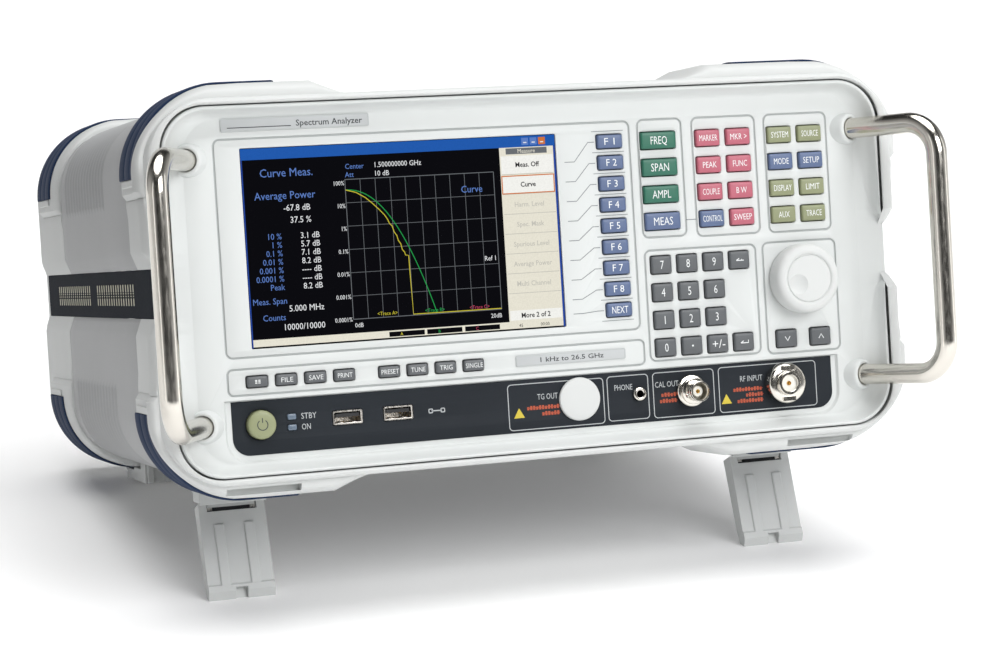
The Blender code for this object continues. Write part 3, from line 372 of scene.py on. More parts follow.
LABEL = moulded("silver_film", srgb(182, 185, 186), 0.5, relief=0.0, drift=0.06, specular=0.2)
LENS = moulded("lamp_lens", srgb(98, 112, 128), 0.25)
SHEET = polished("zinc_sheet", srgb(190, 192, 194), 0.35, (30.0, 30.0, 30.0))
BOARD = moulded("solder_mask", srgb(24, 92, 52), 0.45, drift=0.15)


# Shape helpers


def linked(name, data):
    """A new object in the scene."""
    made = bpy.data.objects.new(name, data)
    bpy.context.scene.collection.objects.link(made)
    return made


def mesh_of(name, bm):
    """A bmesh written to a mesh, and freed."""
    mesh = bpy.data.meshes.new(name)
    bm.to_mesh(mesh)
    bm.free()
    return mesh


def smoothed(mesh, sharp):
    mesh.shade_smooth()
    mesh.set_sharp_from_angle(angle=radians(sharp))


def piece(name, bm, finishes, body=ROOT, nodes=(), sharp=SMOOTH_BELOW):
    """A bmesh in instrument millimetres becomes a piece riding on a body, standing for the nodes."""
    bmesh.ops.transform(bm, matrix=PLACE, verts=bm.verts)
    mesh = mesh_of(name, bm)
    for finish in finishes:
        mesh.materials.append(finish)
    smoothed(mesh, sharp)
    made = linked(name, mesh)
    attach(made, body)
    if nodes:
        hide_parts(*nodes)
    return made


def softened(made, width, segments=2, angle=35.0):
    """Rounds a piece's edges sharper than an angle."""
    bevel = made.modifiers.new("Edges", "BEVEL")
    bevel.width = width * MM
    bevel.segments = segments
    bevel.limit_method = "ANGLE"
    bevel.angle_limit = radians(angle)
    bevel.harden_normals = True
    return made


def skin(bm, rows, wrap=False, loop=False, material=0):
    """Quads through rows of points. wrap closes each row, loop closes the last row on the first."""
    grid = [[bm.verts.new(point) for point in row] for row in rows]
    if loop:
        grid.append(grid[0])
    for near, far in zip(grid, grid[1:]):
        count = len(near)
        for i in range(count if wrap else count - 1):
            j = (i + 1) % count
            corners = (near[i], near[j], far[j], far[i])
            face = bm.faces.new(corners)
            face.material_index = material
    return grid


def capped(bm, grid, material=0):
    for row in (grid[0], grid[-1]):
        bm.faces.new(row).material_index = material


def at_depth(outline, y):
    """An outline in X and Z, set at a depth."""
    return [(x, y, z) for x, z in outline]


def bar(low_x, high_x, outline):
    """An outline in Y and Z drawn out along X."""
    bm = bmesh.new()
    rows = [[(x, y, z) for y, z in outline] for x in (low_x, high_x)]
    capped(bm, skin(bm, rows, wrap=True))
    return oriented(bm)


def mirrored(side, near, far):
    """The low and high X of something on one side."""
    return sorted((side * near, side * far))


def oriented(bm):
    bmesh.ops.recalc_face_normals(bm, faces=bm.faces)
    return bm


def add_box(bm, low, high, material=0):
    size = Vector(high) - Vector(low)
    place = Matrix.Translation((Vector(high) + Vector(low)) / 2) @ Matrix.Diagonal((*size, 1))
    for vert in bmesh.ops.create_cube(bm, size=1.0, matrix=place)["verts"]:
        for face in vert.link_faces:
            face.material_index = material


def boxes(*spans):
    bm = bmesh.new()
    for low, high in spans:
        add_box(bm, low, high)
    return bm


def add_round(bm, start, end, radius, segments=32):
    """A capped cylinder from one point to another."""
    start, end = Vector(start), Vector(end)
    turn = (end - start).to_track_quat("Z", "Y").to_matrix().to_4x4()
    bmesh.ops.create_cone(
        bm, cap_ends=True, segments=segments, radius1=radius, radius2=radius,
        depth=(end - start).length, matrix=Matrix.Translation((start + end) / 2) @ turn,
    )


def lathe(bm, profile, at, direction=(0.0, -1.0, 0.0), segments=48):
    """A turned shape; the profile is (radius, height along direction)."""
    out = Vector(direction).normalized()
    side = out.cross(Vector((0, 0, 1))).normalized()
    up = side.cross(out)
    spokes = []
    for i in range(segments):
        angle = 2 * pi * i / segments
        spokes.append(side * cos(angle) + up * sin(angle))
    rings = []
    for radius, height in profile:
        middle = Vector(at) + out * height
        around = spokes if radius > 0 else spokes[:1]
        rings.append([bm.verts.new(middle + spoke * radius) for spoke in around])
    for near, far in zip(rings, rings[1:]):
        for i in range(segments):
            j = (i + 1) % segments
            ends = [near[i % len(near)], near[j % len(near)], far[j % len(far)], far[i % len(far)]]
            corners = list(dict.fromkeys(ends))
            if len(corners) > 2:
                bm.faces.new(corners)
    return bm


def turned(profile, at, segments=48):
    """A turned shape of its own, standing out to the front."""
    return oriented(lathe(bmesh.new(), profile, at, segments=segments))


def arc(centre, radius, start, sweep, steps):
    """Points along an arc, its angles in degrees."""
    angles = [radians(start + sweep * i / steps) for i in range(steps + 1)]
    return [(centre[0] + radius * cos(angle), centre[1] + radius * sin(angle)) for angle in angles]


def rounded(half_w, half_h, radius, at=(0.0, 0.0), steps=8):
    """A rounded rectangle."""
    points = []
    for sx, sz, start in ((1, 1, 0), (-1, 1, 90), (-1, -1, 180), (1, -1, 270)):
        centre = (at[0] + sx * (half_w - radius), at[1] + sz * (half_h - radius))
        points += arc(centre, radius, start, 90, steps)
    return points


def flat_shape(outlines, low_y, high_y, edge=0.0):
    """A plate in X and Z, its holes left open, with rounded edges on both faces."""
    curve = bpy.data.curves.new("flat", "CURVE")
    curve.dimensions = "2D"
    curve.fill_mode = "BOTH"
    curve.extrude = (high_y - low_y) / 2 - edge
    curve.bevel_depth = edge
    curve.bevel_resolution = 1
    curve.offset = -edge
    for points in outlines:
        spline = curve.splines.new("POLY")
        spline.points.add(len(points) - 1)
        for knot, (u, v) in zip(spline.points, points):
            knot.co = (u, v, 0.0, 1.0)
        spline.use_cyclic_u = True
    middle = (low_y + high_y) / 2
    return meshed(curve, Matrix(((1, 0, 0, 0), (0, 0, -1, middle), (0, 1, 0, 0), (0, 0, 0, 1))))


def meshed(curve, place):
    """A curve or text as a welded bmesh."""
    holder = linked("holder", curve)
    bpy.context.view_layer.update()
    graph = bpy.context.evaluated_depsgraph_get()
    mesh = bpy.data.meshes.new_from_object(holder.evaluated_get(graph))
    bpy.data.objects.remove(holder)
    bm = bmesh.new()
    bm.from_mesh(mesh)
    bpy.data.meshes.remove(mesh)
    bmesh.ops.remove_doubles(bm, verts=bm.verts, dist=1e-4)
    bmesh.ops.transform(bm, matrix=place, verts=bm.verts)
    return bm


def absorb(bm, other, material=0):
    """Adds another bmesh's geometry to this one."""
    for face in other.faces:
        face.material_index = material
    mesh = mesh_of("scratch", other)
    bm.from_mesh(mesh)
    bpy.data.meshes.remove(mesh)


def words(text, x, y, z, cap, width=None, align="CENTER", squeeze=0.9, weight=0.0):
    """Raised print facing the front: cap is its capitals' height, and width, if given, its full length."""
    curve = bpy.data.curves.new("words", "FONT")
    curve.body = text
    curve.align_x = align
    curve.resolution_u = 2
    curve.extrude = 0.01
    curve.offset = weight
    bm = meshed(curve, Matrix.Identity(4))
    spread = [vert.co.x for vert in bm.verts]
    tall = cap / FONT_CAP
    wide = width / (max(spread) - min(spread)) if width else tall * squeeze
    turn = Matrix(((wide, 0, 0, x), (0, 0, -1, y), (0, tall, 0, z - cap / 2), (0, 0, 0, 1)))
    bmesh.ops.transform(bm, matrix=turn, verts=bm.verts)
    return bm


def line(points, width, y, thick=PRINT_THICK):
    """A flat printed line through points in X and Z."""
    half = width / 2
    rows = []
    for i, (x, z) in enumerate(points):
        before, after = points[max(0, i - 1)], points[min(len(points) - 1, i + 1)]
        along = Vector((after[0] - before[0], after[1] - before[1])).normalized()
        left = (x - along.y * half, z + along.x * half)
        right = (x + along.y * half, z - along.x * half)
        rows.append(at_depth((left, right), y) + at_depth((right, left), y + thick))
    bm = bmesh.new()
    capped(bm, skin(bm, rows, wrap=True))
    return oriented(bm)


def frame_line(half_w, half_h, radius, at, width, y):
    """A printed line round a rounded rectangle."""
    outer = rounded(half_w, half_h, radius, at)
    inner = rounded(half_w - width, half_h - width, max(0.1, radius - width), at)
    low = y + PRINT_THICK
    bm = bmesh.new()
    rows = [at_depth(outer, y), at_depth(inner, y), at_depth(inner, low), at_depth(outer, low)]
    skin(bm, rows, wrap=True, loop=True)
    return oriented(bm)


def carved(made, *cutters):
    """Cuts bmeshes in instrument millimetres out of a piece, for good."""
    for cutter in cutters:
        oriented(cutter)
        bmesh.ops.transform(cutter, matrix=PLACE, verts=cutter.verts)
        tool = linked("cutter", mesh_of("cutter", cutter))
        modifier = made.modifiers.new("Cut", "BOOLEAN")
        modifier.operation = "DIFFERENCE"
        modifier.solver = "EXACT"
        modifier.object = tool
        bpy.context.view_layer.update()
        graph = bpy.context.evaluated_depsgraph_get()
        finished = bpy.data.meshes.new_from_object(made.evaluated_get(graph))
        made.modifiers.remove(modifier)
        made.data = finished
        bpy.data.objects.remove(tool)
    smoothed(made.data, SMOOTH_BELOW)
    return made


# The case: one section round the instrument, lifted into guards and sunk into side valleys


def side_levels():
    """The heights at which the case's sides have points: round the guards and down into the valleys."""
    guard = (52.0, 50.0, 48.5, 47.5, 46.0, 44.6, 44.5, 42.1, 42.0, 36.0, 28.0)
    dip = (VALLEY_HALF_H, 17.0, 14.0, BAND_HALF_H, BAND_HALF_H - 0.1, 6.0)
    levels = {sign * z for sign in (-1, 1) for z in guard}
    return sorted(levels | {BAND_Z + sign * d for sign in (-1, 1) for d in dip})


LEVELS = side_levels()
HALF_TOPS = (138, 130, 120.5, 112, 104.5, 101, 96, 92.5, 90, 84, 78, 50, 25, 0)
TOPS = sorted({sign * x for sign in (-1, 1) for x in HALF_TOPS})


def section(half_w, half_h, radius):
    """Points round a rounded rectangle with their outward directions, always the same count."""
    points = [(half_w, z, 1.0, 0.0) for z in LEVELS]

    def corner(cx, cz, start):
        turns = arc((0.0, 0.0), 1.0, start, 90, ARC_STEPS)
        points.extend((cx + radius * nx, cz + radius * nz, nx, nz) for nx, nz in turns)

    across_x, across_z = half_w - radius, half_h - radius
    corner(across_x, across_z, 0)
    points.extend((x, half_h, 0.0, 1.0) for x in reversed(TOPS))
    corner(-across_x, across_z, 90)
    points.extend((-half_w, z, -1.0, 0.0) for z in reversed(LEVELS))
    corner(-across_x, -across_z, 180)
    points.extend((x, -half_h, 0.0, -1.0) for x in TOPS)
    corner(across_x, -across_z, 270)
    return points


def beyond(x, z, size):
    """How far a point lies outside a rounded rectangle."""
    half_w, half_h, radius = size
    qx, qz = abs(x) - (half_w - radius), abs(z) - (half_h - radius)
    return hypot(max(qx, 0.0), max(qz, 0.0)) + min(max(qx, qz), 0.0) - radius


def reach(x, z, nx, nz, size):
    """The distance from a point along its outward direction to a rounded rectangle."""
    low, high = -2.0, 16.0
    for _ in range(24):
        middle = (low + high) / 2
        if beyond(x + nx * middle, z + nz * middle, size) < 0:
            low = middle
        else:
            high = middle
    return (low + high) / 2


def clamp(value, low=0.0, high=1.0):
    return max(low, min(high, value))


def on_side(z, nx, stretch):
    """Whether a point of the section is on the straight part of a side, within a height of the middle."""
    return abs(nx) > STRAIGHT and abs(z) < stretch


def guard_share(x, z, nx, nz):
    """How much of a corner guard's height stands at a point of the section."""
    if on_side(z, nx, SIDE_STRETCH):
        low, high = GUARD_SIDE
        return clamp((abs(z) - low) / (high - low))
    if abs(nz) > STRAIGHT and abs(x) < TOP_STRETCH:
        low, high = GUARD_TOP
        extra = RIGHT_GUARD_EXTRA if x > 0 else 0.0
        return clamp((abs(x) + extra - low) / (high - low))
    return 1.0


def side_stand(z):
    """How far the side stands out at a height: nothing in the valley, all of it above and below."""
    return clamp((abs(z - BAND_Z) - BAND_HALF_H) / (VALLEY_HALF_H - BAND_HALF_H))


def valley(z):
    """The side's half width at a height, down to the valley's floor."""
    return VALLEY_FLOOR_X + (CASE[0] - VALLEY_FLOOR_X) * side_stand(z)


def case_ring(y, size, guard=0.0, grooved=False):
    """One ring of the case at a depth, with the guards lifted by the share given."""
    notch, step = GUARD_NOTCH
    ring = []
    for x, z, nx, nz in section(*size):
        lift = 0.0
        if guard > 0:
            share = guard_share(x, z, nx, nz)
            lift = max(0.0, reach(x, z, nx, nz, GUARD)) * share * guard
            if share == 0.0 and abs(nx) > STRAIGHT and notch <= abs(z) <= GUARD_SIDE[0]:
                lift = step
        px, pz = x + nx * lift, z + nz * lift
        if on_side(z, nx, VALLEY_STRETCH):
            sunk = grooved and abs(z - BAND_Z) < BAND_HALF_H - 0.05
            limit = GROOVE_X if sunk else valley(z)
            px = clamp(px, -limit, limit)
        ring.append((px, y, pz))
    return ring


def inner_ring(y, size):
    return at_depth([(x, z) for x, z, _, _ in section(*size)], y)


def guard_rise(y, start, run, first):
    """A guard's rounded leading edge: its share of the full height at a depth."""
    back = clamp((start + run - y) / run)
    return first + (1 - first) * sqrt(max(0.0, 1 - back * back))


def beaded(point, nx, share):
    """A point of the front frame, widened into the bead down its sides and sunk at the side valley."""
    x, y, z = point
    stand = side_stand(z) if on_side(z, nx, SIDE_STRETCH) else 1.0
    sunk = y * stand + VALLEY_SINK * (1 - stand) if y < 0 else y
    return x + nx * nx * nx * BEAD * share * stand, sunk, z


def front_frame():
    """The front ring: a rounded lip with a bead down its sides, then the guards, then a hollow back."""
    lip = (
        (-7.3, 178.5, 85.1, 21.2), (-7.8, 178.9, 85.5, 21.7), (-8.0, 179.4, 85.9, 22.3),
        (-7.9, 180.0, 86.5, 23.2), (-7.5, 180.6, 87.1, 24.4), (-6.6, 181.1, 87.6, 25.6),
        (-5.2, 181.5, 87.9, 27.0), (-3.6, 181.9, 88.05, 28.4),
    )
    shoulder = (-3.35, -3.1, -2.6, -1.8, -0.8, 0.5, 2.0, 4.0, 6.0, 8.0, 11.0, 14.9)
    bead = dict(zip([row[0] for row in lip], (0.0, 0.0, 0.08, 0.3, 0.52, 0.64, 0.78, 0.9)))
    bead.update(zip(shoulder, (0.91, 0.93, 0.95, 0.98, 1.0, 1.0, 1.0, 0.9, 0.5)))
    rows = [inner_ring(y, MOUTH) for y in (10.0, 2.0, -6.6)]
    rows += [case_ring(y, (w, h, r)) for y, w, h, r in lip]
    for y in shoulder:
        t = clamp((y + 3.6) / 7.6)
        size = (181.9 + 2.1 * t, 88.05 + 0.25 * t, 28.4 + 3.6 * t)
        rows.append(case_ring(y, size, guard_rise(y, -3.4, 11.4, 0.3)))
    for y, share in ((15.0, 1.0), (30.0, 1.0), (48.6, 1.0), (49.6, 0.93), (50.0, 0.82)):
        rows.append(case_ring(y, CASE, share, True))
    rows += [inner_ring(50.0, (176.5, 84.0, 27.0)), inner_ring(10.0, (178.3, 84.9, 24.0))]
    outward = [nx for _, _, nx, _ in section(*CASE)]
    rows = [[beaded(point, nx, bead.get(point[1], 0.0)) for point, nx in zip(row, outward)] for row in rows]
    bm = bmesh.new()
    skin(bm, rows, wrap=True, loop=True)
    made = piece(
        "case_front_frame", oriented(bm), [LIGHT_GREY], nodes=["front_frame"],
    )
    spans = [mirrored(side, 122, 157) for side in (-1, 1)]
    carved(made, boxes(*(((low, -6.0, -92.6), (high, 1.6, -89.4)) for low, high in spans)))


def rear_frame():
    """The rear ring: guards that rise just behind the covers, then a tail that turns in to the rear panel."""
    rows = [inner_ring(y, (176.5, 83.5, 27.0)) for y in (328.0, 243.0)]
    rows += [case_ring(y, CASE, 0.0, True) for y in (243.0, 243.9)]
    for y in (244.0, 244.6, 245.6, 247.0, 249.0, 252.0, 264.0, 290.0, 305.8):
        rows.append(case_ring(y, CASE, guard_rise(y, 244.0, 9.0, 0.35), True))
    rows += [case_ring(y, CASE, share, True) for y, share in ((306.6, 0.96), (307.0, 0.86))]
    rows += [case_ring(y, CASE, 0.0, True) for y in (307.1, 316.0, 324.9)]
    tail = (
        (325.0, 184.0, 88.3, 32.0), (327.0, 183.8, 88.1, 31.8), (329.0, 183.0, 87.5, 31.0),
        (330.4, 181.6, 86.4, 30.0), (331.0, 179.8, 85.3, 29.0),
    )
    rows += [case_ring(y, (w, h, r)) for y, w, h, r in tail]
    rows.append(inner_ring(330.6, (177.2, 84.0, 27.5)))
    bm = bmesh.new()
    skin(bm, rows, wrap=True, loop=True)
    piece("case_rear_frame", oriented(bm), [LIGHT_GREY], nodes=["rear_frame"])


def rib_height(x, y, z):
    """Fine ribs run round the cover's corners and fade out on the flat top."""
    if not RIB_Y[0] <= y <= RIB_Y[1]:
        return 0.0
    phase = (y - RIB_Y[0]) % RIB_PITCH
    bump = 0.5 + 0.5 * cos(2 * pi * clamp((phase - RIB_PITCH / 2) / RIB_WIDTH, -0.5, 0.5))
    fade = clamp((abs(z) - 42.0) / 3.0) * clamp((abs(x) - 128.0) / 8.0)
    return RIB_RISE * bump * fade


def cover_depths():
    """The depths of a cover's rings: close together at its ends and over its ribs."""
    start, end = COVER_Y
    ys = [start, start + 0.3, start + 0.8, 80.0, RIB_Y[0] - 1]
    y = RIB_Y[0]
    while y < RIB_Y[1]:
        ys.append(y)
        y += RIB_PITCH / 10
    return ys + [RIB_Y[1] + 1, end - 0.8, end - 0.3, end]


def cover_row(y, kept, edge):
    """One ring of a cover, tucked in at its two ends, its open edges brought in to the valley's floor."""
    to_end = min(y - COVER_Y[0], COVER_Y[1] - y)
    tuck = 0.4 if to_end < 0.1 else (0.12 if to_end < 0.5 else 0.0)
    row = []
    for x, z, nx, nz in kept:
        lift = rib_height(x, y, z) - tuck
        px, pz = x + nx * lift, z + nz * lift
        if on_side(z, nx, VALLEY_STRETCH):
            limit = valley(z) - tuck
            px = clamp(px, -limit, limit)
        row.append((px, y, pz))
    ends = [(x * VALLEY_FLOOR_X / abs(x), y, edge) for x, _, _ in (row[0], row[-1])]
    return [ends[0], *row, ends[1]]


def cover(name, side, node):
    """Half of the wrap-round case, above (side 1) or below (side -1) the dark bands."""
    edge = BAND_Z + side * BAND_HALF_H
    base = section(*CASE)
    if side < 0:
        base = base[len(LEVELS):] + base[:len(LEVELS)]
    kept = [point for point in base if side * (point[1] - edge) > 0]
    bm = bmesh.new()
    skin(bm, [cover_row(y, kept, edge) for y in cover_depths()])
    # The cover's darker grey is painted shade.
    made = piece(name, oriented(bm), [COVER_SHADED_GREY], nodes=[node])
    wall = made.modifiers.new("Wall", "SOLIDIFY")
    wall.thickness = COVER_WALL * MM
    wall.offset = -1.0
    face = made.data.polygons[0]
    if face.normal.dot(face.center - Vector(MIDDLE)) < 0:
        made.data.flip_normals()


def side_band(name, side, node):
    """A dark grained plate in the valley, with a row of generic marks."""
    low, high = BAND_Z - BAND_HALF_H + 0.05, BAND_Z + BAND_HALF_H - 0.05
    inner, outer = mirrored(side, GROOVE_X + 0.2, VALLEY_FLOOR_X)
    bm = boxes(((inner, BAND_Y[0], low), (outer, BAND_Y[1], high)))
    # The band's extra darkness is painted shade.
    softened(piece(name, bm, [BAND_SHADED_CHARCOAL], nodes=[node]), 0.4)
    marks = bmesh.new()
    near, far = mirrored(side, VALLEY_FLOOR_X, VALLEY_FLOOR_X + 0.05)
    pairs = [start + 13.2 * i for start in (64.0, 187.0) for i in range(8)]
    strokes = [pair + offset for pair in pairs for offset in (0.0, 6.4)]
    for y in strokes:
        for z, height in ((4.0, 3.6), (1.5, 0.7), (0.2, 0.7), (-2.6, 3.6)):
            add_box(marks, (near, y, z - height / 2), (far, y + 2.2, z + height / 2))
    piece(f"{name}_marks", marks, [BAND_MARK])


def rubber_path(right):
    """Round one corner guard, from its side to its top, with outward directions."""
    half_w, half_h, radius = GUARD
    cx, cz = half_w - radius, half_h - radius
    path = [(half_w, z, 1.0, 0.0) for z in (54.0, 54.3, 54.8)]
    path += [(cx + radius * nx, cz + radius * nz, nx, nz) for nx, nz in arc((0.0, 0.0), 1.0, 0, 90, 36)[1:]]
    end_x = RUBBER_TOP_END - (RIGHT_GUARD_EXTRA if right else 0.0)
    along_top = (138.0, 130.0, end_x + 2.5, end_x + 0.7, end_x + 0.3, end_x)
    return path + [(x, half_h, 0.0, 1.0) for x in along_top]


def rubber_strip(name, sx, sz, depths, node):
    """A rubber strip round one corner guard, with lengthwise lobes, rounded ends and a tab at its side."""
    path = rubber_path(sx > 0)
    start, end = depths
    rings = []
    for i, (x, z, nx, nz) in enumerate(path):
        shrink = (0.72, 0.92, 1.0)[min(i, len(path) - 1 - i, 2)]
        heights = []
        for k in range(LOBE_STEPS + 1):
            lobe = abs(sin(pi * LOBES * k / LOBE_STEPS)) ** 0.45
            edge = 0.7 if k in (0, LOBE_STEPS) else 1.0
            heights.append((k, RUBBER_THICK * shrink * (0.42 + 0.58 * lobe) * edge))
        heights += [(LOBE_STEPS, 0.12), (0, 0.12)]
        span = (end - start) / LOBE_STEPS
        rings.append([(sx * (x + nx * rise), start + span * k, sz * (z + nz * rise)) for k, rise in heights])
    bm = bmesh.new()
    capped(bm, skin(bm, rings, wrap=True))
    piece(name, oriented(bm), [NAVY], nodes=[node], sharp=50)
    near, far = mirrored(sx, GUARD[0] - 0.3, GUARD[0] + 0.9)
    low, high = mirrored(sz, 50.4, 53.8)
    tab = boxes(((near, start + 5, low), (far, end - 5, high)))
    softened(piece(f"{name}_tab", tab, [LIGHT_GREY]), 0.5)


# The front panel


def key_centres(name):
    """The middle of every key of a group, row by row from the top left."""
    (first_x, pitch_x, columns), (first_z, pitch_z, rows), _ = KEYS[name]
    counts = NUMBER_ROWS if name == "number_keys" else (columns,) * rows
    places = [(i, j) for j, count in enumerate(counts) for i in range(count)]
    return [(first_x + i * pitch_x, first_z - j * pitch_z) for i, j in places]


def strip_outline(grow, top=None):
    """The connector strip's outline, square at its top and round at its bottom, grown outward."""
    x, z, width, height = STRIP
    half_w, low = width / 2 + grow, z - height / 2 - grow
    high = z + height / 2 + (grow if top is None else top)
    radius = STRIP_CORNER + grow
    points = [(x + half_w, high), (x - half_w, high)]
    for sx, start in ((-1, 180), (1, 270)):
        points += arc((x + sx * (half_w - radius), low + radius), radius, start, 90, 8)
    return points


def cove_share(z):
    """The cove's share of its full width at a height on the sides: it closes up towards the valley."""
    return clamp((abs(z - BAND_Z) - COVE_ENDS[0]) / (COVE_ENDS[1] - COVE_ENDS[0]), 0.03, 1.0)


def panel_surround():
    """The panel's rim and the cove that dishes down to its flat, both running out at the side valleys."""
    profile = (
        (3.0, -0.4, -0.4, -0.4), (-5.8, -0.4, -0.4, -0.4), (-6.6, -0.2, -0.2, -0.2), (-7.0, 0.4, 0.4, 0.3),
        (-6.9, 1.1, 1.1, 0.7), (-6.3, 1.6, 1.5, 1.0), (-5.2, 2.2, 1.9, 1.3), (-4.0, 2.9, 2.35, 1.7),
        (-2.8, 3.9, 2.85, 2.1), (-1.7, 5.3, 3.45, 2.5), (-0.8, 7.0, 4.1, 2.9), (-0.25, 8.6, 4.6, 3.2),
        (-0.03, 10.0, 5.2, 3.6),
    )
    flat_edge = ((-0.03, 10.4, 5.5, 3.8), (1.0, 10.4, 5.5, 3.8))
    rows = []
    for y, in_w, in_h, in_r in profile + flat_edge:
        ring = []
        for x, z, nx, nz in section(PANEL[0] - in_w, PANEL[1] - in_h, PANEL[2] - in_r):
            depth = y
            if on_side(z, nx, SIDE_STRETCH) and (y, in_w, in_h, in_r) not in flat_edge:
                spread = (VALLEY_FLOOR_X + 0.3 - PANEL[0]) * (1 - side_stand(z))
                x = nx * (PANEL[0] + spread - in_w * cove_share(z))
                depth = y if y > 0 else min(y * side_stand(z), -0.04)
            ring.append((x, depth, z))
        rows.append(ring)
    bm = bmesh.new()
    skin(bm, rows, wrap=True)
    piece("panel_surround", oriented(bm), [PANEL_GREY])


def panel_plate():
    """The panel's flat, pierced for the keys, the screen and the knob, its outlines cut out as grooves."""
    outlines = [rounded(PANEL[0] - 9.6, PANEL[1] - 5.0, PANEL[2] - 3.5, steps=20)]
    for x, z, width, height, radius in GROOVES:
        for grow in (GROOVE_WIDTH / 2, -GROOVE_WIDTH / 2):
            outlines.append(rounded(width / 2 + grow, height / 2 + grow, radius + grow, (x, z)))
    for name, (_, _, (width, height)) in KEYS.items():
        for at in key_centres(name):
            outlines.append(rounded(width / 2 + KEY_GAP, height / 2 + KEY_GAP, KEY_HOLE_CORNER, at, 4))
    x, z, width, height = SCREEN
    outlines.append(rounded(width / 2 + 0.3, height / 2 + 0.3, 0.6, (x, z), 3))
    outlines.append(strip_outline(3.2, top=0.5))
    outlines.append(rounded(KNOB_HOLE, KNOB_HOLE, KNOB_HOLE - 0.01, KNOB_AT, 10))
    bm = oriented(flat_shape(outlines, 0.0, PLATE_THICK, 0.32))
    piece("panel_plate", bm, [PANEL_GREY], nodes=["front_panel"], sharp=40)


def groove_floors():
    """The bottoms of the panel's grooves, facing the front, in a darker grey: painted shade."""
    bm = bmesh.new()
    for x, z, width, height, radius in GROOVES:
        outer = rounded(width / 2 + 1.2, height / 2 + 1.2, radius + 1.2, (x, z))
        inner = rounded(width / 2 - 1.2, height / 2 - 1.2, radius - 1.2, (x, z))
        skin(bm, [at_depth(outer, 0.75), at_depth(inner, 0.75)], wrap=True)
    for face in bm.faces:
        face.normal_update()
        if face.normal.y > 0:
            face.normal_flip()
    piece("panel_groove_painted_shade", bm, [GROOVE_SHADE_GREY])


def strip_ledge():
    """The recess round the connector strip, sloping from the panel's flat down to the strip."""
    profile = ((0.0, 3.3), (0.35, 3.0), (0.9, 2.7), (1.35, 2.2), (1.5, 1.2), (1.5, -1.0))
    bm = bmesh.new()
    skin(bm, [at_depth(strip_outline(grow, min(grow, 0.5)), y) for y, grow in profile], wrap=True)
    piece("panel_strip_ledge", oriented(bm), [PANEL_GREY])


def handle_feet():
    """Where each handle leg meets the panel, and the direction in which it leans out."""
    for side in (-1, 1):
        out = Vector((side * HANDLE_REACH[0], HANDLE_REACH[1], 0.0)).normalized()
        for level in (-1, 1):
            yield Vector((side * HANDLE_AT[0], 0.0, level * HANDLE_AT[1])), out


def bosses():
    """The low collars in which the handles' legs stand."""
    profile = (
        (8.6, -4.5), (8.1, -2.4), (7.8, -1.0), (7.6, 0.2), (7.4, 1.1), (7.1, 1.8), (6.7, 2.2), (6.2, 2.4),
        (5.7, 2.35), (5.4, 2.2), (5.25, 1.8), (5.25, -2.0),
    )
    bm = bmesh.new()
    for foot, out in handle_feet():
        lathe(bm, profile, foot, out)
    piece("handle_bosses", oriented(bm), [PANEL_GREY])


def handle_path(side):
    """The middle line of a handle: out from the panel, round a bend and down, then the same mirrored."""
    foot = Vector((side * HANDLE_AT[0], 0.0, HANDLE_AT[1]))
    reach_out = Vector((side * HANDLE_REACH[0], HANDLE_REACH[1], 0.0))
    out, up = reach_out.normalized(), Vector((0.0, 0.0, 1.0))
    centre = foot + reach_out - (out + up) * HANDLE_BEND
    upper = [foot - out * 2.0, foot + out * 12.0]
    upper += [centre + out * a + up * b for a, b in arc((0.0, 0.0), HANDLE_BEND, 90, -90, 14)]
    upper.append(Vector((foot.x + reach_out.x, foot.y + reach_out.y, 18.0)))
    return upper + [Vector((point.x, point.y, -point.z)) for point in reversed(upper)]


def handle(name, side, node):
    """A bent tube, drawn round its path."""
    points = handle_path(side)
    flat = (points[1] - points[0]).cross(Vector((0.0, 0.0, 1.0))).normalized()
    circle = arc((0.0, 0.0), HANDLE_RADIUS, 0, 360, HANDLE_SIDES)[:-1]
    rows = []
    for i, point in enumerate(points):
        ahead = points[min(i + 1, len(points) - 1)] - points[max(i - 1, 0)]
        normal = flat.cross(ahead).normalized()
        rows.append([point + flat * a + normal * b for a, b in circle])
    bm = bmesh.new()
    capped(bm, skin(bm, rows, wrap=True))
    piece(name, oriented(bm), [NICKEL], nodes=[node])


# Keys


def keycap(bm, at, size, material=0):
    """One key: straight flanks, a rounded edge and a slightly crowned top."""
    profile = (
        (KEY_FOOT_Y, 0.0), (-0.4, 0.05), (-1.05, 0.12), (-1.38, 0.3), (-1.55, 0.6), (KEY_TOP_Y, 1.1),
        (KEY_TOP_Y - 0.06, 2.1),
    )
    rows = []
    for y, inset in profile:
        corner = max(0.25, 0.95 - inset * 0.3)
        rows.append(at_depth(rounded(size[0] / 2 - inset, size[1] / 2 - inset, corner, at, 4), y))
    capped(bm, skin(bm, rows, wrap=True, material=material), material)


def key_web(bm, name, size):
    """The mat that joins a group's keys behind the panel."""
    xs, zs = zip(*key_centres(name))
    half_w, half_h = size[0] / 2 + 2.0, size[1] / 2 + 2.0
    low = (min(xs) - half_w, KEY_FOOT_Y, min(zs) - half_h)
    add_box(bm, low, (max(xs) + half_w, KEY_FOOT_Y + 1.0, max(zs) + half_h))


def key_group(name, finishes, picks=()):
    """Every key of one group; the picked ones, by their place in the group, have the second finish."""
    size = KEYS[name][2]
    bm = bmesh.new()
    for i, at in enumerate(key_centres(name)):
        keycap(bm, at, size, int(i in picks))
    key_web(bm, name, size)
    piece(f"{name}_caps", oriented(bm), finishes, name, [name], sharp=55)


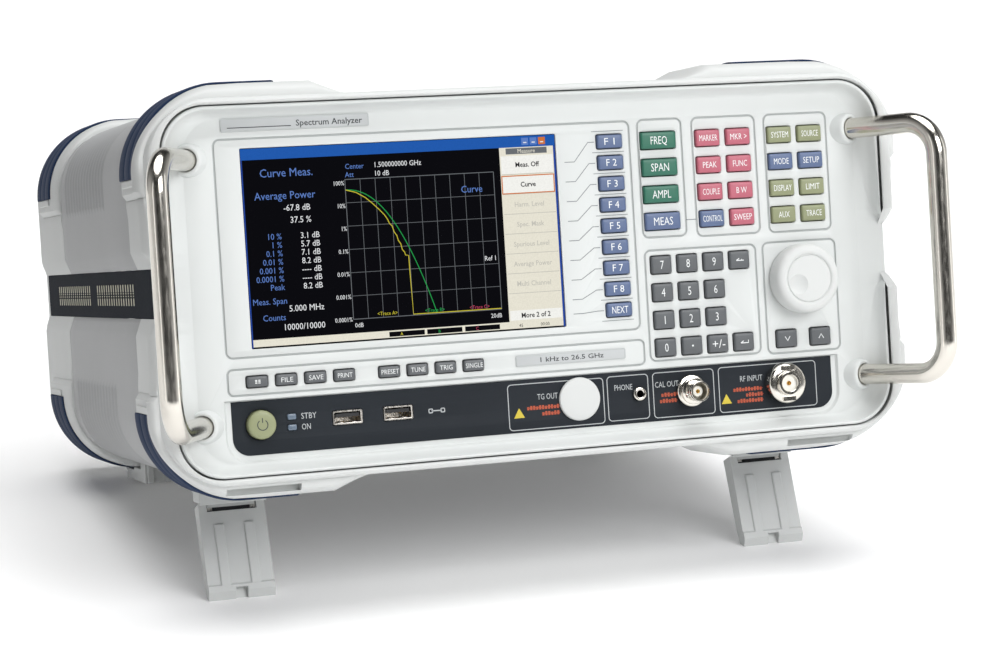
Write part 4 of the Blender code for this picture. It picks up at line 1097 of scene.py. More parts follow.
def legends(name, texts, cap):
    """White print on the keys of one group: text and its width, text alone, or strokes."""
    bm = bmesh.new()
    y = KEY_TOP_Y - 0.09
    for text, (x, z) in zip(texts, key_centres(name)):
        if isinstance(text, str):
            absorb(bm, words(text, x, y, z, cap, squeeze=0.72, weight=LEGEND_WEIGHT))
        elif isinstance(text[0], str):
            absorb(bm, words(text[0], x, y, z, cap, text[1], weight=LEGEND_WEIGHT))
        else:
            for stroke in text:
                absorb(bm, line([(x + dx, z + dz) for dx, dz in stroke], 0.42, y))
    piece(f"{name}_legends", oriented(bm), [LEGEND], name)


BACK_ARROW = (((2.0, -0.3), (-2.0, -0.3)), ((-2.0, -0.3), (-0.4, 0.7)), ((0.9, -0.3), (0.9, 0.3)))
RETURN_ARROW = (((2.0, 0.8), (2.0, -0.5), (-2.0, -0.5)), ((-2.0, -0.5), (-0.5, 0.5)))
DOWN_ARROW = (((-1.3, 1.0), (0.0, -1.1), (1.3, 1.0)),)
UP_ARROW = (((-1.3, -1.0), (0.0, 1.1), (1.3, -1.0)),)
POINT = (((-0.45, 0.2), (0.45, 0.2)), ((-0.45, -0.2), (0.45, -0.2)))
GRID_GLYPH = tuple(
    ((dx - 0.5, dz), (dx + 0.5, dz)) for dx in (-0.75, 0.75) for dz in (-0.65, 0.0, 0.65)
)


def keys():
    """All the key groups, coloured by what they do, and the print on them."""
    key_group("soft_keys", [KEY_BLUE])
    key_group("function_keys", [KEY_GREEN, KEY_BLUE], (3,))
    key_group("marker_keys", [KEY_PINK, KEY_BLUE], (6,))
    key_group("system_keys", [KEY_OLIVE, KEY_BLUE], (2, 3))
    for name in ("number_keys", "file_keys", "preset_keys", "arrow_down_key", "arrow_up_key"):
        key_group(name, [KEY_GREY])
    soft = [(f"F {i}", 5.2) for i in range(1, 9)] + [("NEXT", 8.2)]
    function = (("FREQ", 8.4), ("SPAN", 9.2), ("AMPL", 9.5), ("MEAS", 9.8))
    marker = (
        ("MARKER", 9.4), ("MKR >", 8.6), ("PEAK", 7.2), ("FUNC", 7.4), ("COUPLE", 8.8), ("B W", 5.4),
        ("CONTROL", 10.0), ("SWEEP", 9.4),
    )
    system = (
        ("SYSTEM", 9.0), ("SOURCE", 8.8), ("MODE", 7.8), ("SETUP", 8.6), ("DISPLAY", 9.4), ("LIMIT", 7.3),
        ("AUX", 5.8), ("TRACE", 8.2),
    )
    number = (*"789", BACK_ARROW, *"4561230", POINT, ("+/-", 6.6), RETURN_ARROW)
    files = (GRID_GLYPH, ("FILE", 5.6), ("SAVE", 6.8), ("PRINT", 7.0))
    presets = (("PRESET", 8.4), ("TUNE", 7.0), ("TRIG", 6.2), ("SINGLE", 8.4))
    legends("soft_keys", soft, 3.3)
    legends("function_keys", function, 3.8)
    legends("marker_keys", marker, 2.9)
    legends("system_keys", system, 2.9)
    legends("number_keys", number, 4.0)
    legends("arrow_down_key", (DOWN_ARROW,), 3.0)
    legends("arrow_up_key", (UP_ARROW,), 3.0)
    legends("file_keys", files, 2.2)
    legends("preset_keys", presets, 2.2)


def key_line_work():
    """The thin lines that lead from the screen's menu to the soft keys, and those between the keys."""
    y = -0.05
    bm = bmesh.new()
    for i, (x, z) in enumerate(key_centres("soft_keys")):
        level = z - 0.6 if i == 8 else SCREEN_TOP - 13.5 - 9.32 * min(i, 7)
        start, end = 16.4, x - 7.6
        slope = []
        for k in range(1, 8):
            t = k / 7
            slope.append((start + 5.0 + (end - start - 8.2) * t, level + (z - level) * t))
        absorb(bm, line([(start, level), (start + 5.0, level), *slope, (end, z)], 0.36, y))
        absorb(bm, line([(x - 8.8, z - 5.0), (x + 7.4, z - 5.0)], 0.32, y))
    absorb(bm, line([(x - 8.8, 64.9), (x + 7.4, 64.9)], 0.32, y))
    absorb(bm, line([(76.9, 20.5), (82.1, 20.5)], 0.4, y))
    piece("soft_key_lines", oriented(bm), [INK])


# The display


DISPLAY_TONES = (
    ("black", (6, 6, 9), 1.0), ("white", (236, 238, 240), 0.95), ("blue", (96, 130, 200), 0.95),
    ("grid", (112, 116, 120), 0.9), ("yellow", (208, 196, 60), 0.95), ("green", (38, 160, 78), 0.95),
    ("cream", (238, 234, 218), 0.95), ("button", (248, 248, 243), 0.97), ("title", (34, 92, 178), 0.95),
    ("faint", (202, 200, 190), 0.95), ("dark", (40, 40, 42), 0.95), ("orange", (214, 120, 60), 0.95),
    ("pink", (190, 70, 100), 0.95), ("edge", (40, 72, 160), 0.95),
)
TONE = {name: i for i, (name, _, _) in enumerate(DISPLAY_TONES)}


def screen_patch(bm, u0, v0, u1, v1, raised, tone):
    """A filled box of the picture, from its left, top, right and bottom."""
    low = (SCREEN_LEFT + u0, SCREEN_Y - raised, SCREEN_TOP - v1)
    add_box(bm, low, (SCREEN_LEFT + u1, SCREEN_Y - raised + SCREEN_THICK, SCREEN_TOP - v0), TONE[tone])


def screen_line(bm, points, width, raised, tone):
    points = [(SCREEN_LEFT + u, SCREEN_TOP - v) for u, v in points]
    absorb(bm, line(points, width, SCREEN_Y - raised, SCREEN_THICK), TONE[tone])


def screen_words(bm, text, u, v, size, tone, align="CENTER", squeeze=0.92, weight=0.0):
    place = (SCREEN_LEFT + u, SCREEN_Y - 0.09, SCREEN_TOP - v)
    made = words(text, *place, size * FONT_CAP, None, align, squeeze, weight)
    absorb(bm, made, TONE[tone])


def screen_fields(bm):
    """The picture's black ground, title bar, side edges, menu column and status line."""
    right, bottom = SCREEN[2], SCREEN[3]
    for field in (
        (0.0, 0.0, right, bottom, 0.0, "black"), (0.0, 0.0, right, 5.2, 0.03, "title"),
        (0.0, 5.2, 0.6, bottom, 0.05, "edge"), (right - 1.0, 5.2, right, bottom, 0.05, "edge"),
        (0.6, 87.2, right - 1.0, bottom - 0.5, 0.03, "cream"),
        (124.3, 5.2, right - 1.0, bottom - 0.5, 0.03, "cream"),
    ):
        screen_patch(bm, *field)
    for u, tone in ((135.6, "blue"), (139.8, "blue"), (144.0, "orange")):
        screen_patch(bm, u, 0.9, u + 3.4, 4.3, 0.05, tone)
        screen_patch(bm, u + 0.9, 2.9, u + 2.5, 3.4, 0.08, "white")


def screen_plot(bm):
    """The plot: its grid, a smooth falling trace and a stepped one, and the shares down its left."""
    u0, v0, u1, v1 = PLOT
    for i in range(11):
        u = u0 + (u1 - u0) * i / 10
        screen_line(bm, [(u, v0), (u, v1)], 0.34 if i in (0, 10) else 0.22, 0.03, "grid")
    for i in range(7):
        v = v0 + (v1 - v0) * i / 6
        screen_line(bm, [(u0, v), (u1, v)], 0.34 if i in (0, 6) else 0.22, 0.03, "grid")
    fall = [(u0 + 40.5 * (k / 24) ** 0.86, 21.0 + 59.3 * (k / 24) ** 1.9) for k in range(25)]
    screen_line(bm, fall, 0.4, 0.06, "green")
    steps = (
        (u0, 21.0), (53.5, 22.4), (57.8, 25.0), (61.0, 27.8), (64.2, 31.0), (66.4, 33.4), (67.8, 35.6),
        (68.6, 37.6), (69.8, 38.8), (70.6, 41.6), (71.8, 43.4), (72.3, 45.6), (73.4, 47.2), (74.0, 50.0),
        (75.0, 51.2), (75.4, 52.6), (76.9, 52.9), (77.0, 60.0), (77.5, 80.3), (u1, 80.4),
    )
    screen_line(bm, steps, 0.4, 0.07, "yellow")
    for i, text in enumerate(("100%", "10%", "1%", "0.1%", "0.01%", "0.001%", "0.0001%")):
        v = v0 + 1.6 + (v1 - v0 - 1.6) * i / 6
        screen_words(bm, text, u0 - 0.4, v, 2.9, "white", "RIGHT", 0.86)
    for letter, u, tone in (("A", 65.0, "yellow"), ("B", 88.0, "green"), ("C", 110.0, "pink")):
        screen_words(bm, f"<Trace {letter}>", u, 79.0, 2.4, tone)


def screen_readout(bm):
    """The text round the plot and the table of shares and values to its left."""
    for note in (
        ("Curve Meas.", 21.0, 11.5, 5.4, "blue"), ("Average Power", 19.7, 21.9, 5.0, "blue"),
        ("-67.8 dB", 31.4, 27.7, 4.1, "white", "RIGHT"), ("37.5 %", 31.5, 33.3, 4.1, "white", "RIGHT"),
        ("5.000 MHz", 35.0, 73.8, 4.1, "white", "RIGHT"), ("10000/10000", 35.0, 82.2, 4.1, "white", "RIGHT"),
        ("Meas. Span", 9.6, 70.1, 4.0, "blue"), ("Counts", 11.2, 77.6, 4.0, "blue"),
        ("Center", 53.4, 10.2, 3.4, "blue"), ("1.500000000 GHz", 62.6, 10.0, 3.4, "white", "LEFT"),
        ("Att", 50.8, 14.0, 3.4, "blue"), ("10 dB", 62.6, 14.0, 3.4, "white", "LEFT"),
        ("Curve", 109.6, 23.6, 4.6, "blue"), ("Ref 1", 120.0, 56.5, 3.2, "white", "RIGHT"),
        ("0dB", 49.0, 83.6, 2.9, "white", "LEFT"), ("20dB", 120.8, 83.6, 2.9, "white", "RIGHT"),
        ("00:00", 142.0, 89.1, 2.2, "dark"), ("45", 130.0, 89.1, 2.2, "dark"),
    ):
        screen_words(bm, *note)
    shares = ("10 %", "1 %", "0.1 %", "0.01 %", "0.001 %", "0.0001 %", "Peak")
    values = ("3.1 dB", "5.7 dB", "7.1 dB", "8.2 dB", "---- dB", "---- dB", "8.2 dB")
    for i, (share, value) in enumerate(zip(shares, values)):
        v = 40.6 + 3.87 * i
        screen_words(bm, share, 17.0, v, 3.9, "blue", "RIGHT")
        screen_words(bm, value, 35.0, v, 3.9, "white", "RIGHT")
    for u, text, tone in ((65.2, "A", "yellow"), (83.6, "B", "green"), (102.2, "C", "pink")):
        screen_patch(bm, u, 87.8, u + 17.2, 90.1, 0.05, "black")
        screen_words(bm, text, u + 6.0, 89.0, 2.2, tone)


def screen_menu(bm):
    """The column of menu buttons: two live ones, the second framed, five faint ones and a page number."""
    low, high = MENU_SPAN
    screen_patch(bm, 127.5, 5.6, 148.0, 8.4, 0.05, "grid")
    screen_words(bm, "Measure", MENU_MIDDLE, 7.0, 2.8, "cream")
    menu = (
        "Meas. Off", "Curve", "Harm. Level", "Spec. Mask", "Spurious Level", "Average Power", "Multi Channel",
    )
    for i, text in enumerate(menu):
        v = MENU_TOP + MENU_PITCH * i
        ground, tone, weight = ("button", "dark", 0.02) if i < 2 else ("cream", "faint", 0.01)
        screen_patch(bm, low, v - 4.2, high, v + 4.2, 0.05, ground)
        screen_patch(bm, low, v + 4.3, high, v + 4.6, 0.05, "faint")
        screen_words(bm, text, MENU_MIDDLE, v, 3.3, tone, weight=weight)
    left, top, right, bottom, wide = 124.6, 18.4, 151.0, 27.1, 0.5
    for box in (
        (left, top, right, top + wide), (left, bottom - wide, right, bottom),
        (left, top, left + wide, bottom), (right - wide, top, right, bottom),
    ):
        screen_patch(bm, *box, 0.07, "orange")
    screen_patch(bm, low, 82.0, high, 86.6, 0.05, "button")
    screen_words(bm, "More 2 of 2", MENU_MIDDLE, 84.4, 3.3, "dark", weight=0.02)


def display():
    """A lit liquid crystal panel behind the opening: a readout, a plot with two traces and a menu."""
    finishes = [glowing(f"display_{name}", srgb(*tone), power) for name, tone, power in DISPLAY_TONES]
    bm = bmesh.new()
    screen_fields(bm)
    screen_plot(bm)
    screen_readout(bm)
    screen_menu(bm)
    x, z, width, height = SCREEN
    low = (x - width / 2 + 0.1, SCREEN_Y + 0.05, z - height / 2 + 0.1)
    add_box(bm, low, (x + width / 2 - 0.1, SCREEN_Y + 1.7, z + height / 2 - 0.1), TONE["black"])
    piece("display_picture", bm, finishes, nodes=["display_window"])


# The connector strip


def lamp_places():
    return [(LAMP_AT[0], LAMP_AT[1] + level * LAMP_PITCH) for level in (-0.5, 0.5)]


def strip_plate():
    """The dark plate, pierced for everything that stands in it."""
    outlines = [strip_outline(0.0)]
    for at in USB_AT.values():
        outlines.append(rounded(7.3, 3.5, 0.8, at, 3))
    for at in lamp_places():
        outlines.append(rounded(LAMP_HALF[0] + 0.25, LAMP_HALF[1] + 0.25, 0.8, at, 4))
    for at, radius in ((POWER_AT, 7.05), (BLANK_AT, 8.3), (PHONE_AT, 3.1), (CAL_AT, 5.1), (RF_AT, 6.3)):
        outlines.append(rounded(radius, radius, radius - 0.01, at, 10))
    bm = oriented(flat_shape(outlines, STRIP_Y, STRIP_Y + 2.0, 0.15))
    piece("strip_plate", bm, [CHARCOAL], nodes=["connector_strip"], sharp=40)


def strip_print():
    """The pale frames and names round the sockets."""
    y = STRIP_PRINT_Y
    bm = bmesh.new()
    for x, z, width, height in (
        (5.5, -63.2, 48.5, 22.0), (42.1, -62.8, 21.3, 21.6), (70.9, -62.9, 32.0, 22.0),
        (115.2, -62.9, 52.0, 22.2),
    ):
        absorb(bm, frame_line(width / 2, height / 2, 2.0, (x, z), 0.4, y))
    (_, on_z), (_, standby_z) = lamp_places()
    for text, x, z, width in (
        ("TG OUT", 1.2, -59.0, 10.2), ("PHONE", 39.8, -57.7, 9.2), ("CAL OUT", 62.2, -57.8, 12.2),
        ("RF INPUT", 106.5, -58.2, 11.8), ("STBY", -115.5, standby_z, 7.2), ("ON", -116.9, on_z, 4.2),
    ):
        absorb(bm, words(text, x, y, z, 2.7, width))
    absorb(bm, line([(-56.5, -61.5), (-51.4, -61.5)], 0.5, y))
    for x in (-56.9, -51.0):
        absorb(bm, frame_line(1.1, 1.1, 0.6, (x, -61.5), 0.45, y))
    piece("strip_print", oriented(bm), [STRIP_LINE])


def strip_marks():
    """Rows of amber bars, in place of wording, and two yellow triangles."""
    y = STRIP_PRINT_Y
    bm = bmesh.new()
    for x, z, width in (
        (-1.1, -64.0, 16.4), (2.6, -67.0, 9.0), (63.2, -62.9, 8.0), (62.8, -65.8, 9.0), (104.6, -63.3, 15.4),
        (108.0, -66.1, 9.2), (105.6, -68.9, 13.7),
    ):
        count = round(width / 1.5)
        for k in range(count):
            left = x - width / 2 + k * width / count
            tall = 1.9 if k % 3 else 1.5
            add_box(bm, (left, y, z - 0.95), (left + 1.05, y + PRINT_THICK, z - 0.95 + tall))
            add_box(bm, (left + 0.3, y, z - 0.2), (left + width / count, y + PRINT_THICK, z + 0.15))
    piece("strip_amber_marks", bm, [AMBER])
    marks = bmesh.new()
    for x, z in ((-13.4, -66.0), (93.0, -67.4)):
        corners = [(x - 2.7, z - 2.3), (x + 2.7, z - 2.3), (x, z + 2.4)]
        capped(marks, skin(marks, [at_depth(corners, y + dy) for dy in (-0.02, 0.02)], wrap=True))
    piece("strip_yellow_marks", oriented(marks), [YELLOW])


def power_button():
    x, z = POWER_AT
    bm = turned((
        (0.0, 3.0), (3.2, 2.98), (5.0, 2.9), (5.9, 2.7), (6.35, 2.35), (6.6, 1.8), (6.65, 1.2), (6.65, -4.2),
        (7.85, -4.2), (7.85, -5.4), (0.0, -5.4),
    ), (x, 0.0, z), 64)
    piece("power_cap", bm, [POWER_OLIVE], "power_button", ["power_button"])
    mark = bmesh.new()
    absorb(mark, line(arc(POWER_AT, 2.4, 125, 290, 24), 0.42, -3.06))
    absorb(mark, line([(x, z + 1.0), (x, z + 3.2)], 0.42, -3.07))
    piece("power_mark", oriented(mark), [DARK_INK], "power_button")


def status_lamps():
    bm = bmesh.new()
    for at in lamp_places():
        rows = []
        for y, inset in ((4.3, 0.0), (1.1, 0.0), (0.85, 0.15), (0.75, 0.4)):
            rows.append(at_depth(rounded(LAMP_HALF[0] - inset, LAMP_HALF[1] - inset, 0.7, at, 4), y))
        capped(bm, skin(bm, rows, wrap=True))
    piece("lamp_lenses", oriented(bm), [LENS], nodes=["status_lamps"])


def usb_socket(name, at):
    """A folded metal shell with its springs, tongue and four contacts."""
    x, z = at
    front = STRIP_Y - 0.4
    rows = []
    for depth, half_w, half_h, radius in (
        (14.0, 6.9, 3.05, 0.7), (0.3, 6.9, 3.05, 0.7), (0.0, 7.05, 3.2, 0.8), (-0.02, 6.6, 2.75, 0.6),
        (0.3, 6.25, 2.45, 0.5), (12.0, 6.25, 2.45, 0.5),
    ):
        rows.append(at_depth(rounded(half_w, half_h, radius, at, 4), front + depth))
    bm = bmesh.new()
    capped(bm, skin(bm, rows, wrap=True))
    for dx in (-3.2, 3.2):
        add_box(bm, (x + dx - 1.0, front + 1.2, z - 2.5), (x + dx + 1.0, front + 6.0, z - 2.1))
    piece(name + "_shell", oriented(bm), [SATIN], nodes=[name])
    tongue = boxes(((x - 5.6, front + 0.9, z + 0.1), (x + 5.6, front + 12.0, z + 1.85)))
    softened(piece(name + "_tongue", tongue, [BLACK]), 0.15)
    contacts = bmesh.new()
    for dx in (-3.6, -1.2, 1.2, 3.6):
        add_box(contacts, (x + dx - 0.5, front + 1.6, z - 0.02), (x + dx + 0.5, front + 9.0, z + 0.15))
    piece(name + "_contacts", contacts, [GOLD])


def blank_cap():
    bm = turned((
        (0.0, 1.55), (6.0, 1.5), (9.2, 1.4), (9.9, 1.2), (10.2, 0.85), (10.3, 0.35), (10.3, 0.0), (7.6, 0.0),
        (7.6, -4.0), (0.0, -4.0),
    ), (BLANK_AT[0], SOCKET_Y, BLANK_AT[1]), 72)
    piece("blank_disc", bm, [LIGHT_GREY], nodes=["blank_cap"])


def phone_jack():
    at = (PHONE_AT[0], SOCKET_Y, PHONE_AT[1])
    bm = bmesh.new()
    lathe(bm, (
        (1.85, 1.5), (2.1, 1.62), (2.8, 1.62), (3.1, 1.45), (3.3, 1.1), (3.3, 0.0), (2.8, 0.0), (2.8, -12.0),
        (0.0, -12.0),
    ), at, segments=40)
    lathe(bm, ((1.85, 1.5), (1.75, 1.3), (1.75, -9.0)), at, segments=40)
    piece("phone_bush", oriented(bm), [NICKEL], nodes=["phone_jack"])
    bore = lathe(bmesh.new(), ((1.7, 0.9), (1.7, -8.9), (0.0, -8.9)), at, segments=32)
    piece("phone_bore", bore, [BLACK])


def cal_connector():
    """A bayonet socket with its two lugs, white insulator and gold contact."""
    at = (CAL_AT[0], SOCKET_Y, CAL_AT[1])
    bm = bmesh.new()
    lathe(bm, (
        (4.05, 3.0), (4.05, 12.2), (4.2, 12.5), (4.65, 12.5), (4.85, 12.3), (4.85, 10.9), (4.6, 10.7),
        (4.6, 9.9), (4.85, 9.7), (4.85, 5.6), (6.0, 5.2), (6.3, 4.9), (6.3, 2.5), (7.2, 2.3), (7.5, 2.0),
        (7.5, 0.2), (7.3, 0.0), (4.8, 0.0), (4.8, -9.0), (0.0, -9.0),
    ), at, segments=56)
    for angle in (20, 200):
        out = Vector((cos(radians(angle)), 0.0, sin(radians(angle))))
        base = Vector(at) + Vector((0, -7.6, 0))
        add_round(bm, base + out * 4.6, base + out * 5.75, 0.95, 20)
    piece("cal_shell", oriented(bm), [NICKEL], nodes=["cal_connector"])
    insulator = ((4.05, 3.2), (2.5, 3.2), (2.5, 8.8), (2.3, 9.0), (1.0, 9.0), (0.9, 8.6), (0.0, 8.6))
    piece("cal_insulator", turned(insulator, at, 40), [PTFE])
    contact = ((0.9, 8.5), (0.9, 9.3), (0.75, 9.45), (0.42, 9.45), (0.4, 8.6), (0.0, 8.6))
    piece("cal_contact", turned(contact, at, 24), [GOLD])


def rf_connector():
    """A large coaxial connector: thick flange, flats on its face, white insulator and gold contact."""
    x, y, z = at = (RF_AT[0], SOCKET_Y, RF_AT[1])
    bm = bmesh.new()
    lathe(bm, (
        (4.1, 6.6), (4.1, 8.2), (4.3, 8.4), (5.4, 8.4), (5.7, 8.2), (5.8, 7.9), (5.8, 6.4), (8.6, 6.2),
        (9.3, 5.9), (9.65, 5.4), (9.75, 4.8), (9.75, 0.3), (9.5, 0.0), (6.0, 0.0), (6.0, -10.0), (0.0, -10.0),
    ), at, segments=64)
    for level in (z - 7.5, z + 7.5):
        add_box(bm, (x - 3.3, y - 7.2, level - 1.0), (x + 3.3, y - 5.8, level + 1.0))
    piece("rf_shell", oriented(bm), [NICKEL], nodes=["rf_connector"])
    insulator = ((4.1, 6.9), (1.2, 6.9), (1.1, 6.7), (0.0, 6.7))
    piece("rf_insulator", turned(insulator, at, 40), [PTFE])
    contact = ((1.05, 6.5), (1.0, 7.5), (0.85, 7.7), (0.55, 7.7), (0.5, 6.9), (0.0, 6.9))
    piece("rf_contact", turned(contact, at, 28), [GOLD])


def tuning_knob():
    """A wide knob with a soft edge, a sunk ring and a round finger dimple."""
    top = 10.8
    bm = turned((
        (0.0, top - 0.5), (4.0, top - 0.5), (8.0, top - 0.5), (10.6, top - 0.5), (11.1, top - 0.6),
        (11.4, top - 1.0), (11.7, top - 1.0), (12.0, top - 0.45), (12.5, top - 0.08), (13.2, top),
        (14.2, top - 0.12), (15.1, top - 0.5), (15.8, top - 1.1), (16.3, top - 1.9), (16.6, top - 3.0),
        (16.75, 5.0), (16.75, 1.0), (16.5, 0.5), (3.0, 0.5), (3.0, 8.0), (0.0, 8.0),
    ), (KNOB_AT[0], 0.0, KNOB_AT[1]), 96)
    made = piece("knob_cap", bm, [LIGHT_GREY], "tuning_knob", ["tuning_knob"])
    radius, depth = 4.9, 1.7
    ball_radius = (radius * radius + depth * depth) / (2 * depth)
    ball = bmesh.new()
    place = Matrix.Translation((KNOB_AT[0] - 5.6, 0.5 - top - ball_radius + depth, KNOB_AT[1] - 2.6))
    bmesh.ops.create_uvsphere(ball, u_segments=64, v_segments=48, radius=ball_radius, matrix=place)
    carved(made, ball)


def label_plates():
    """Two silver films with a thin darker rim, painted shade along their edges, and the generic text on them.
    """
    rims = bmesh.new()
    for name, (at, (width, height)) in BADGES.items():
        bm = oriented(flat_shape([rounded(width / 2, height / 2, 0.8, at, 5)], -0.6, -0.05, 0.12))
        piece(f"{name}_film", bm, [LABEL], nodes=[f"{name}_plate"])
        absorb(rims, frame_line(width / 2 - 0.25, height / 2 - 0.25, 0.7, at, 0.3, -0.62))
    text = bmesh.new()
    absorb(text, line([(-145.5, 74.2), (-115.6, 74.2)], 0.4, -0.64))
    absorb(text, words("Spectrum Analyzer", -97.6, -0.62, 75.4, 2.7, 31.5, weight=LABEL_WEIGHT))
    absorb(text, words("1 kHz to 26.5 GHz", 13.7, -0.62, -41.4, 2.2, 32.0, weight=LABEL_WEIGHT))
    piece("label_print", oriented(text), [DARK_INK])
    # The rims take the groove floors' darker grey: painted shade round the films' edges.
    piece("label_rims_painted_shade", oriented(rims), [GROOVE_SHADE_GREY])


# Legs and feet


def leg_point(along, forward):
    """The Y and Z of a point down the leg from its pin and forward of its middle."""
    lean = radians(LEG_LEAN)
    y = LEG_PIN.y - along * sin(lean) - forward * cos(lean)
    z = LEG_PIN.z - along * cos(lean) + forward * sin(lean)
    return y, z


def leg_box(bm, middle, half, along, forward, taper=0.0):
    """A block aligned with the leg, from and to a distance along it and forward of its middle."""
    corners = []
    for x in (middle - half, middle + half):
        for distance in along:
            drop = taper if distance == along[1] else 0.0
            for reach in (forward[0] - drop, forward[1]):
                corners.append(bm.verts.new((x, *leg_point(distance, reach))))
    for face in ((0, 1, 3, 2), (4, 6, 7, 5), (0, 4, 5, 1), (2, 3, 7, 6), (0, 2, 6, 4), (1, 5, 7, 3)):
        bm.faces.new([corners[i] for i in face])


def leg_outline():
    """A leg from the side: its front, the raised band at its toe, the edge it stands on and its back."""
    front = [leg_point(6.6, 5.0), leg_point(46.4, 4.0), leg_point(47.2, 4.9), leg_point(50.2, 4.9)]
    toe = [(TOE_AT[0] + side * cos(TILT), TOE_AT[1] + side * sin(TILT)) for side in (-TOE_HALF, TOE_HALF)]
    back = [leg_point(49.0, -2.8), leg_point(44.0, -3.6), leg_point(6.6, -4.0)]
    return front + toe + back


def tilt_leg(side, word):
    """A flat moulded leg: two framed channels, a notched toe and a slot over its pin."""
    centre = side * LEG_X
    half = LEG_WIDTH / 2
    body = f"tilt_leg_{word}"
    bm = bar(centre - half, centre + half, leg_outline())
    made = piece(f"leg_{word}", bm, [LIGHT_GREY], body, [body], sharp=10)
    notch = bmesh.new()
    leg_box(notch, centre, 2.9, (48.4, 60.0), (1.0, 8.0))
    slot = bmesh.new()
    leg_box(slot, centre, 12.2, (7.0, 10.6), (2.0, 8.0))
    carved(made, notch, slot)
    made.data.shade_flat()
    softened(made, 0.25, 2, 40)
    ribs = bmesh.new()
    for offset in (-LEG_RIB_X, LEG_RIB_X):
        leg_box(ribs, centre + offset, 2.5, (17.0, 50.8), (5.9, 2.0), 1.2)
    softened(piece(f"leg_{word}_ribs", oriented(ribs), [LIGHT_GREY], body), 0.8, 4)
    inner = half - 4.7
    barrel = bmesh.new()
    leg_box(barrel, centre, inner, (0.0, 8.5), (-4.0, 4.0))
    add_round(barrel, (centre - inner, *LEG_PIN.yz), (centre + inner, *LEG_PIN.yz), 4.0, 40)
    piece(f"leg_{word}_barrel", oriented(barrel), [LIGHT_GREY], body)
    dark = bmesh.new()
    leg_box(dark, centre, 12.1, (7.1, 10.5), (2.0, 2.1))
    leg_box(dark, centre, 9.2, (7.3, 10.3), (2.0, 3.6))
    piece(f"leg_{word}_slot", oriented(dark), [BLACK], body)
    stops = bmesh.new()
    for offset in (-10.6, 10.6):
        leg_box(stops, centre + offset, 1.2, (7.9, 9.7), (2.0, 3.4))
    piece(f"leg_{word}_stops", oriented(stops), [SATIN], body)


def leg_mount(side, word):
    """Two ears and a front lip under the lower cover, and the pin between them."""
    centre = side * LEG_X
    y, z = LEG_PIN.yz
    half = LEG_WIDTH / 2
    top = 1 - CASE[1]
    spans = [((centre - half, y - 11.5, z - 5.0), (centre + half, y - 8.5, top))]
    for ear in (-1, 1):
        low, high = mirrored(ear, half, half - 4.2)
        spans.append(((centre + low, y - 9.5, z - 4.2), (centre + high, y + 3.6, top)))
    softened(piece(f"leg_mount_{word}", boxes(*spans), [LIGHT_GREY]), 0.5)
    end = half - 0.9
    profile = ((0.0, -end), (1.7, -end), (2.0, 0.3 - end), (2.0, end - 0.3), (1.7, end), (0.0, end))
    pin = oriented(lathe(bmesh.new(), profile, (centre, y, z), (1.0, 0.0, 0.0), 32))
    piece(f"leg_{word}_pin", pin, [SATIN], nodes=[f"leg_pin_{word}"])


def foot_block(side, word):
    """The tapered body of a rear foot, its inner half cut back where the front block stands."""
    rows = []
    for z, half_x, half_y in ((-88.6, 17.5, 17.0), (-99.0, 15.3, 16.0), (-101.2, 14.9, 15.5)):
        rows.append([(side * FOOT_X + x, 300.0 + y, z) for x, y in rounded(half_x, half_y, 2.5, steps=5)])
    bm = bmesh.new()
    capped(bm, skin(bm, rows, wrap=True))
    made = piece(f"foot_{word}", oriented(bm), [LIGHT_GREY], nodes=[f"rear_foot_{word}"])
    low, high = mirrored(side, 90.0, 160.0)
    carved(made, boxes(((low, 243.7, -95.2), (high, 307.3, -80.0))))
    softened(made, 0.6)


def foot_front(side, word):
    """The ribbed block in front of a rear foot, stepping down towards the back."""
    low, high = mirrored(side, FOOT_X - 14.0, FOOT_X + 20.0)
    y, z = FOOT_FRONT
    bm = bmesh.new()
    for inset, back, top in ((0.0, 243.4, -88.6), (0.05, 263.4, -95.5), (0.1, 285.0, -96.9)):
        add_box(bm, (low + inset, y + inset, z + inset), (high - inset, back, top))
    softened(piece(f"foot_{word}_front", bm, [LIGHT_GREY]), 0.5)
    ribs = bmesh.new()
    for i in range(4):
        x = low + 3.0 + i * (high - low - 6.0) / 3
        add_box(ribs, (x - 1.6, y - 1.8, z), (x + 1.6, y + 0.5, -89.0))
    softened(piece(f"foot_{word}_ribs", ribs, [LIGHT_GREY]), 0.3)


def foot_pad(side, word):
    """The rubber pad, its sole level with the ground."""
    centre = side * FOOT_X
    rest_y, rest_z = FOOT_REST
    front_y, back_y = PAD_Y
    bm = bar(centre - PAD_HALF, centre + PAD_HALF, [
        (front_y, -101.5), (front_y, rest_z + 0.4), (front_y + 0.4, rest_z), (rest_y, rest_z),
        (back_y, rest_z + (back_y - rest_y) * tan(TILT)), (back_y, -101.5),
    ])
    softened(piece(f"pad_{word}", bm, [RUBBER], nodes=[f"foot_pad_{word}"]), 0.35)


# The back


def grille():
    """The outlines of the fan's slots: quarter rings that leave a cross of bars between them."""
    for ring in GRILLE_RINGS:
        sweep = 90 - GRILLE_BAR / ring
        for quarter in range(4):
            start = 45 + 90 * quarter - sweep / 2
            outer = arc(FAN_AT, ring + GRILLE_HALF_SLOT, start, sweep, 12)
            yield outer + arc(FAN_AT, ring - GRILLE_HALF_SLOT, start, sweep, 12)[::-1]


